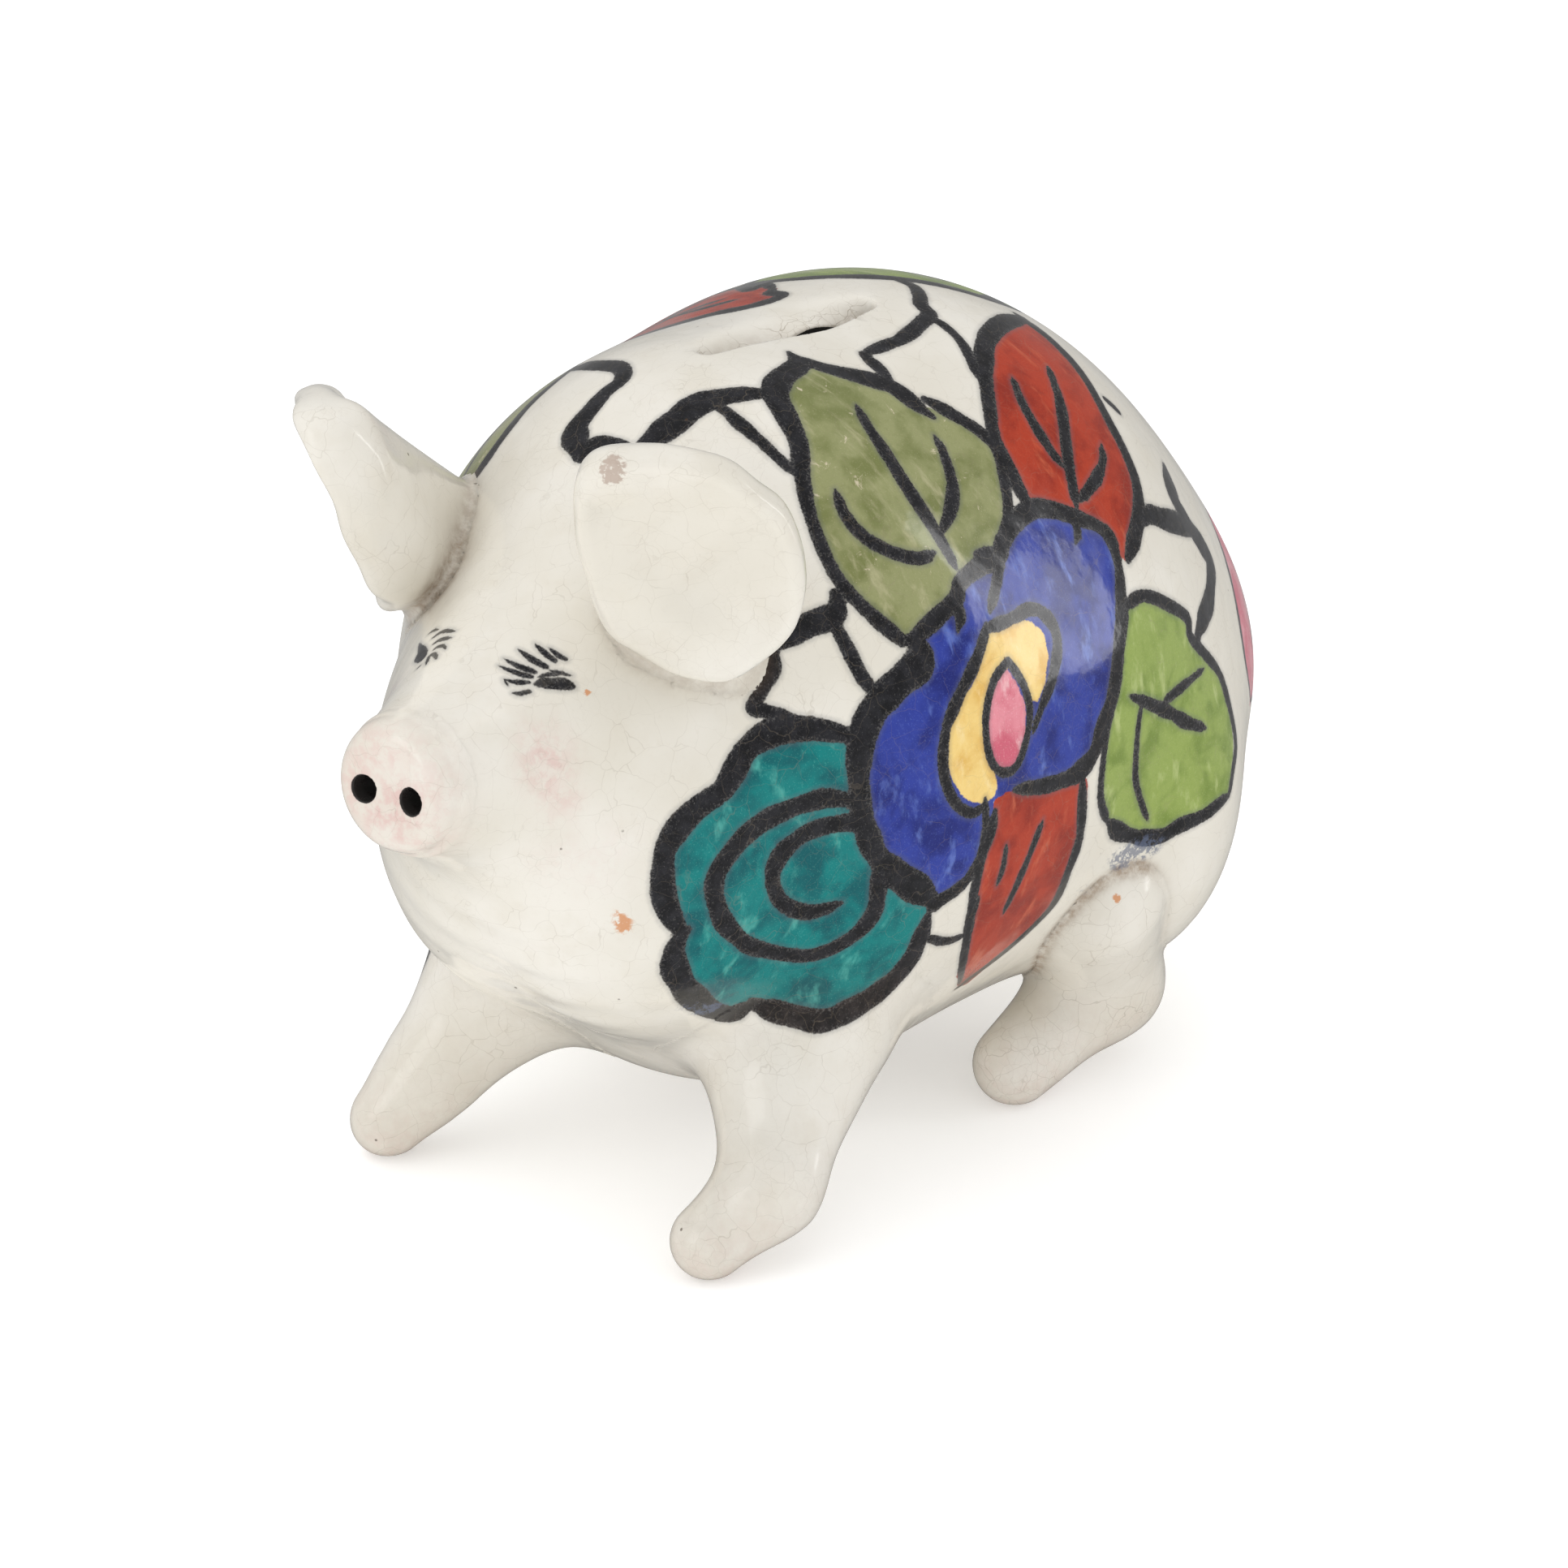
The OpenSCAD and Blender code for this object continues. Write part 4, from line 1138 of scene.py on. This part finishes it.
def wear_and_shade(P):
    """Blush, grime with painted shade in the joins and the slot, rust and smoke at points of any piece."""
    X = P.astype(F32)
    b = body_f(X)
    grime_and_shade = np.zeros(len(P))
    for name, fn, k, lo, hi in LIMBS:
        m = ((P > np.array(lo) - 1) & (P < np.array(hi) + 1)).all(1) & (b > -3)
        i = np.where(m)[0]
        if not len(i):
            continue
        l = fn(X[i])
        s, amp = {"left_ear": (1.0, 0.7), "right_ear": (1.0, 2.6), "left_hind_leg": (0.5, 2.3), "right_hind_leg": (0.6, 1.0),
                  "snout": (1.6, 0.10), "tail": (0.8, 0.6)}.get(name, (2.5, 0.22))
        # grime and painted shade where each limb joins the body, strongest in the crease
        d = amp * np.exp(-((np.abs(b[i]) + np.abs(l)) / s / 1.6) ** 2)
        if name.endswith("hind_leg"):            # only along the front of the thigh, most at its foot end
            q = P[i] * np.array([1 if name[0] == "l" else -1, 1, 1])
            d = d * (0.10 + 0.75 * np.exp(-np.maximum(seg_dist(q, CREASE) - 2.0, 0) / 1.8))
        if name == "right_ear":                  # most where the ear's lower edge meets the head
            d = d * (0.35 + 0.80 * np.exp(-(np.linalg.norm(P[i] - EAR_FOOT, axis=1) / 8.5) ** 2))
        grime_and_shade[i] = np.maximum(grime_and_shade[i], d)
    foot = np.exp(-np.maximum(P[:, 2], 0) / 7.0)
    ch = onto([(672, 938), (688, 985), (748, 985), (720, 1060)])
    mir = ch * np.array([-1, 1, 1])
    spots = [(ch[0], (3.0, 3, 4.5), 0.9), (ch[1], (2.4, 3, 2.4), 0.7), (ch[3], (6, 5, 4), 0.25)]
    spots += [(mir[0], (3.0, 3, 4.5), 0.9), (mir[1], (2.4, 3, 2.4), 0.7)]
    spots += [((-18, -53, 108), (4, 4, 5), 0.45), ((24, -54, 111), (4, 4, 4), 0.3), ((0, -83, 70), (9, 5, 9), 0.9)]
    blush = np.maximum(spot_sum(P, spots), foot * 0.35 * (P[:, 2] < 25))
    worn = np.array(ear_spot, float)
    rs = onto([(768, 1140), (757, 1126), (723, 854), (1376, 1107)])
    rust = spot_sum(P, [(rs[0], (1.5, 1.5, 1.3), 1.0), (rs[1], (1.0, 1.0, 0.8), 0.7), (rs[2], (0.5, 0.5, 0.5), 0.9), (rs[3], (0.7, 0.7, 0.7), 0.9)])
    sm = onto([(872, 1243), (850, 1240), (1405, 1046), (1385, 1056), (1330, 1100)])
    smoke = spot_sum(P, [(sm[0], (2.6, 2.6, 1.2), 0.95), (sm[1], (2.4, 2.4, 1.0), 0.6), (sm[2], (3.4, 3.8, 1.9), 1.15), (sm[3], (3.4, 3.4, 2.2), 0.85), (sm[4], (3, 5, 2), 0.4)])
    rim = (P[:, 2] > 96) & (np.abs(P[:, 0]) < 16) & (np.abs(P[:, 1]) < 22)
    crackle = np.zeros(len(P))
    crackle[rim] = np.clip((-b[rim] - 0.3) / 0.8, 0, 1)
    leg = P[:, 2] < 34                                 # the legs are more crazed, and browner to the foot
    crackle[leg] = np.maximum(crackle[leg], np.where(P[leg][:, 1] > 0, 0.24, 0.08) * np.clip((b[leg] - 0.3) / 1.5, 0, 1))
    grime_and_shade[leg] = np.maximum(grime_and_shade[leg], 0.22 * np.exp(-P[leg][:, 2] / 14) * np.clip(b[leg] / 3, 0, 1))
    mouth = (P[:, 1] < -70) & (np.abs(P[:, 0]) < 12)
    nostril_ink_and_slot_shade = np.zeros(len(P))
    # the nostrils are painted black inside
    nostril_ink_and_slot_shade[mouth] = np.clip(0.9 - nostrils(X[mouth]) / 0.5, 0, 1)
    s, n, d, t = slot_f(X[rim], b[rim])                # painted shade: the dark gap under the far wall of the slot, near-black by depth
    nostril_ink_and_slot_shade[rim] = np.clip((-b[rim] - d - 0.1) / 0.35, 0, 1)
    # painted shade: the slot walls darker the deeper they go
    grime_and_shade[rim] = np.maximum(grime_and_shade[rim], 0.42 * np.clip((-b[rim] - 0.3) / 1.8, 0, 1))
    w = spot_sum(P, [(worn, (1.7, 1.7, 3.0), 1.0)])
    return {"blush": blush, "grime_and_shade": np.clip(grime_and_shade, 0, 1), "rust": rust, "smoke": smoke, "crackle": crackle, "worn": w, "nostril_ink_and_slot_shade": nostril_ink_and_slot_shade}


# ------------------------------------------------------------------ the pieces
painted_glaze = glaze("painted_glaze", paint=True)
cream_glaze = glaze("cream_glaze")
leg_glaze = glaze("leg_glaze", paint=True)
snout_glaze = glaze("snout_glaze", snout=True)

def near_slot(V):
    X = V.astype(F32)
    return (V[:, 2] > 98) & (np.abs(slot_f(X, body_f(X))[0]) < 2.2)


def near_limb(V):
    X = V.astype(F32)
    out = np.zeros(len(V), bool)
    on = np.abs(body_f(X)) < 0.5
    for name, fn, k, lo, hi in LIMBS:
        i = np.where(on & ((V > np.array(lo)) & (V < np.array(hi))).all(1))[0]
        if len(i):
            out[i] |= np.abs(fn(X[i]) - 1.0) < 3.2
    return out


V, T = build(shell_f, (-52, -86, 2), (52, 84, 112), 1.6, 1)
A, fine = painted(V)
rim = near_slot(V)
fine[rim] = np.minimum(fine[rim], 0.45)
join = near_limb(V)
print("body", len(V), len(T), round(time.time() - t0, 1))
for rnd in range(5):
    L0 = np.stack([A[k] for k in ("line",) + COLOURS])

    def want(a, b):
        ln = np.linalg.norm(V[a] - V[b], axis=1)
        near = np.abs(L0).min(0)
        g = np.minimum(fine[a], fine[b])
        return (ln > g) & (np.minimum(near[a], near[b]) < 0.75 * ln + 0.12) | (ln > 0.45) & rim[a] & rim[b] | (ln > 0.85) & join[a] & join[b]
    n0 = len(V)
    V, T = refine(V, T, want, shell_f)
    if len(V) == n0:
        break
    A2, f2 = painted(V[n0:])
    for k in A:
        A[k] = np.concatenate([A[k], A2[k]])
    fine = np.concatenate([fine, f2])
    rim = near_slot(V)
    join = near_limb(V)
    print(rnd, len(V), len(T), round(time.time() - t0, 1))
A.update(wear_and_shade(V))
make("body", V, T, A, painted_glaze, "painted_glaze", "body_shell")
print("body made", len(V), len(T), round(time.time() - t0, 1))

for name, fn, k, lo, hi in LIMBS:
    V, T, _, _ = limb_mesh(fn, k, lo, hi, (0.62) * (0.6 if name in ("snout", "tail") else 1))
    A = wear_and_shade(V)
    mat = cream_glaze
    if name.endswith("leg"):
        on = body_f(V.astype(F32)) < 12
        D, _ = painted(V[on])
        for key, d in D.items():
            A[key] = np.full(len(V), CLIP)
            A[key][on] = d
        mat = leg_glaze
    X = V.astype(F32)
    total = lambda p: smin(body_f(p), fn(p), k)
    N = grad(total, V)
    N /= np.linalg.norm(N, axis=1)[:, None] + 1e-9
    B = grad(body_f, V)                     # the fillet's edge takes the body's own shading
    B /= np.linalg.norm(B, axis=1)[:, None] + 1e-9
    w = np.clip((body_f(X) - total(X) - 0.07) / 0.5, 0, 1)
    w = (w * w * (3 - 2 * w))[:, None]
    w[np.abs(total(X)) > 0.12] = 0
    N = w * N + (1 - w) * B
    N /= np.linalg.norm(N, axis=1)[:, None] + 1e-9
    make(name, V, T, A, snout_glaze if name == "snout" else mat, "snout_glaze" if name == "snout" else "cream_glaze", name, normals=N)
    print(name, len(V), len(T), round(time.time() - t0, 1))

# ------------------------------------------------------------------ studio
def area(name, loc, size, power, aim=(0, 0, 0.05), size_y=None, col=(1, 1, 1)):
    d = bpy.data.lights.new(name, "AREA")
    d.energy = power
    d.size = size
    d.color = col
    if size_y:
        d.shape = "RECTANGLE"
        d.size_y = size_y
    o = bpy.data.objects.new(name, d)
    bpy.context.scene.collection.objects.link(o)
    o.location = loc
    o.rotation_euler = (Vector(loc) - Vector(aim)).to_track_quat("Z", "Y").to_euler()
    return o


from mathutils import Matrix, Vector
fm = bpy.data.materials.new("floor")
fm.use_nodes = True
fb = fm.node_tree.nodes["Principled BSDF"]
fb.inputs["Base Color"].default_value = (0.88, 0.88, 0.88, 1)
fb.inputs["Roughness"].default_value = 0.9
fb.inputs["Specular IOR Level"].default_value = 0.0
fb.inputs["Emission Color"].default_value = (1, 1, 1, 1)
fb.inputs["Emission Strength"].default_value = 0.29
fn_ = fm.node_tree
fd = fn_.nodes.new("ShaderNodeBsdfDiffuse")          # what the glaze mirrors of the table is darker
fd.inputs["Color"].default_value = (0.30, 0.30, 0.30, 1)
fl = fn_.nodes.new("ShaderNodeLightPath")
fx = fn_.nodes.new("ShaderNodeMixShader")
fn_.links.new(fl.outputs["Is Glossy Ray"], fx.inputs[0])
fn_.links.new(fb.outputs[0], fx.inputs[1])
fn_.links.new(fd.outputs[0], fx.inputs[2])
fn_.links.new(fx.outputs[0], fn_.nodes["Material Output"].inputs[0])
me = bpy.data.meshes.new("floor")
me.from_pydata([(-4, -4, 0), (4, -4, 0), (4, 4, 0), (-4, 4, 0)], [], [(0, 1, 2, 3)])
floor = bpy.data.objects.new("floor", me)
bpy.context.scene.collection.objects.link(floor)
me.materials.append(fm)
w = bpy.data.worlds.new("studio")
bpy.context.scene.world = w
w.use_nodes = True
wt = w.node_tree
bg = wt.nodes["Background"]
bg.inputs[0].default_value = (1, 1, 1, 1)
bg.inputs[1].default_value = 0.73
dim = wt.nodes.new("ShaderNodeBackground")          # the darker half of the studio, as the glaze mirrors it
dim.inputs[0].default_value = (1, 1, 1, 1)
dim.inputs[1].default_value = 0.25
lp = wt.nodes.new("ShaderNodeLightPath")
mx = wt.nodes.new("ShaderNodeMixShader")
wt.links.new(lp.outputs["Is Glossy Ray"], mx.inputs[0])
wt.links.new(bg.outputs[0], mx.inputs[1])
wt.links.new(dim.outputs[0], mx.inputs[2])
wt.links.new(mx.outputs[0], wt.nodes["World Output"].inputs[0])
sd = bpy.data.lights.new("overhead", "SUN")
sd.energy = 1.05
sd.angle = math.radians(80)
sun = bpy.data.objects.new("overhead", sd)
bpy.context.scene.collection.objects.link(sun)
sun.visible_glossy = False
sun.rotation_euler = Vector((-0.30, 0.06, 0.95)).to_track_quat("Z", "Y").to_euler()
area("front", (-0.30, -1.0, 0.55), 0.6, 1.2)
area("fill", (0.55, -0.90, 0.18), 0.9, 1.7).visible_glossy = False
area("strip", (0.80, 0.65, 0.05), 0.15, 2.4, size_y=1.6)

cd = bpy.data.cameras.new("camera")
cd.sensor_width = 36
cd.lens = VF / 1932 * 36
cam = bpy.data.objects.new("camera", cd)
bpy.context.scene.collection.objects.link(cam)
M = Matrix.Identity(4)
for i in range(3):
    M[i][0], M[i][1], M[i][2], M[i][3] = VR[i], VU[i], VB[i], VC[i] * MM
cam.matrix_world = M
bpy.context.scene.camera = cam
bpy.context.scene.view_settings.view_transform = "Standard"
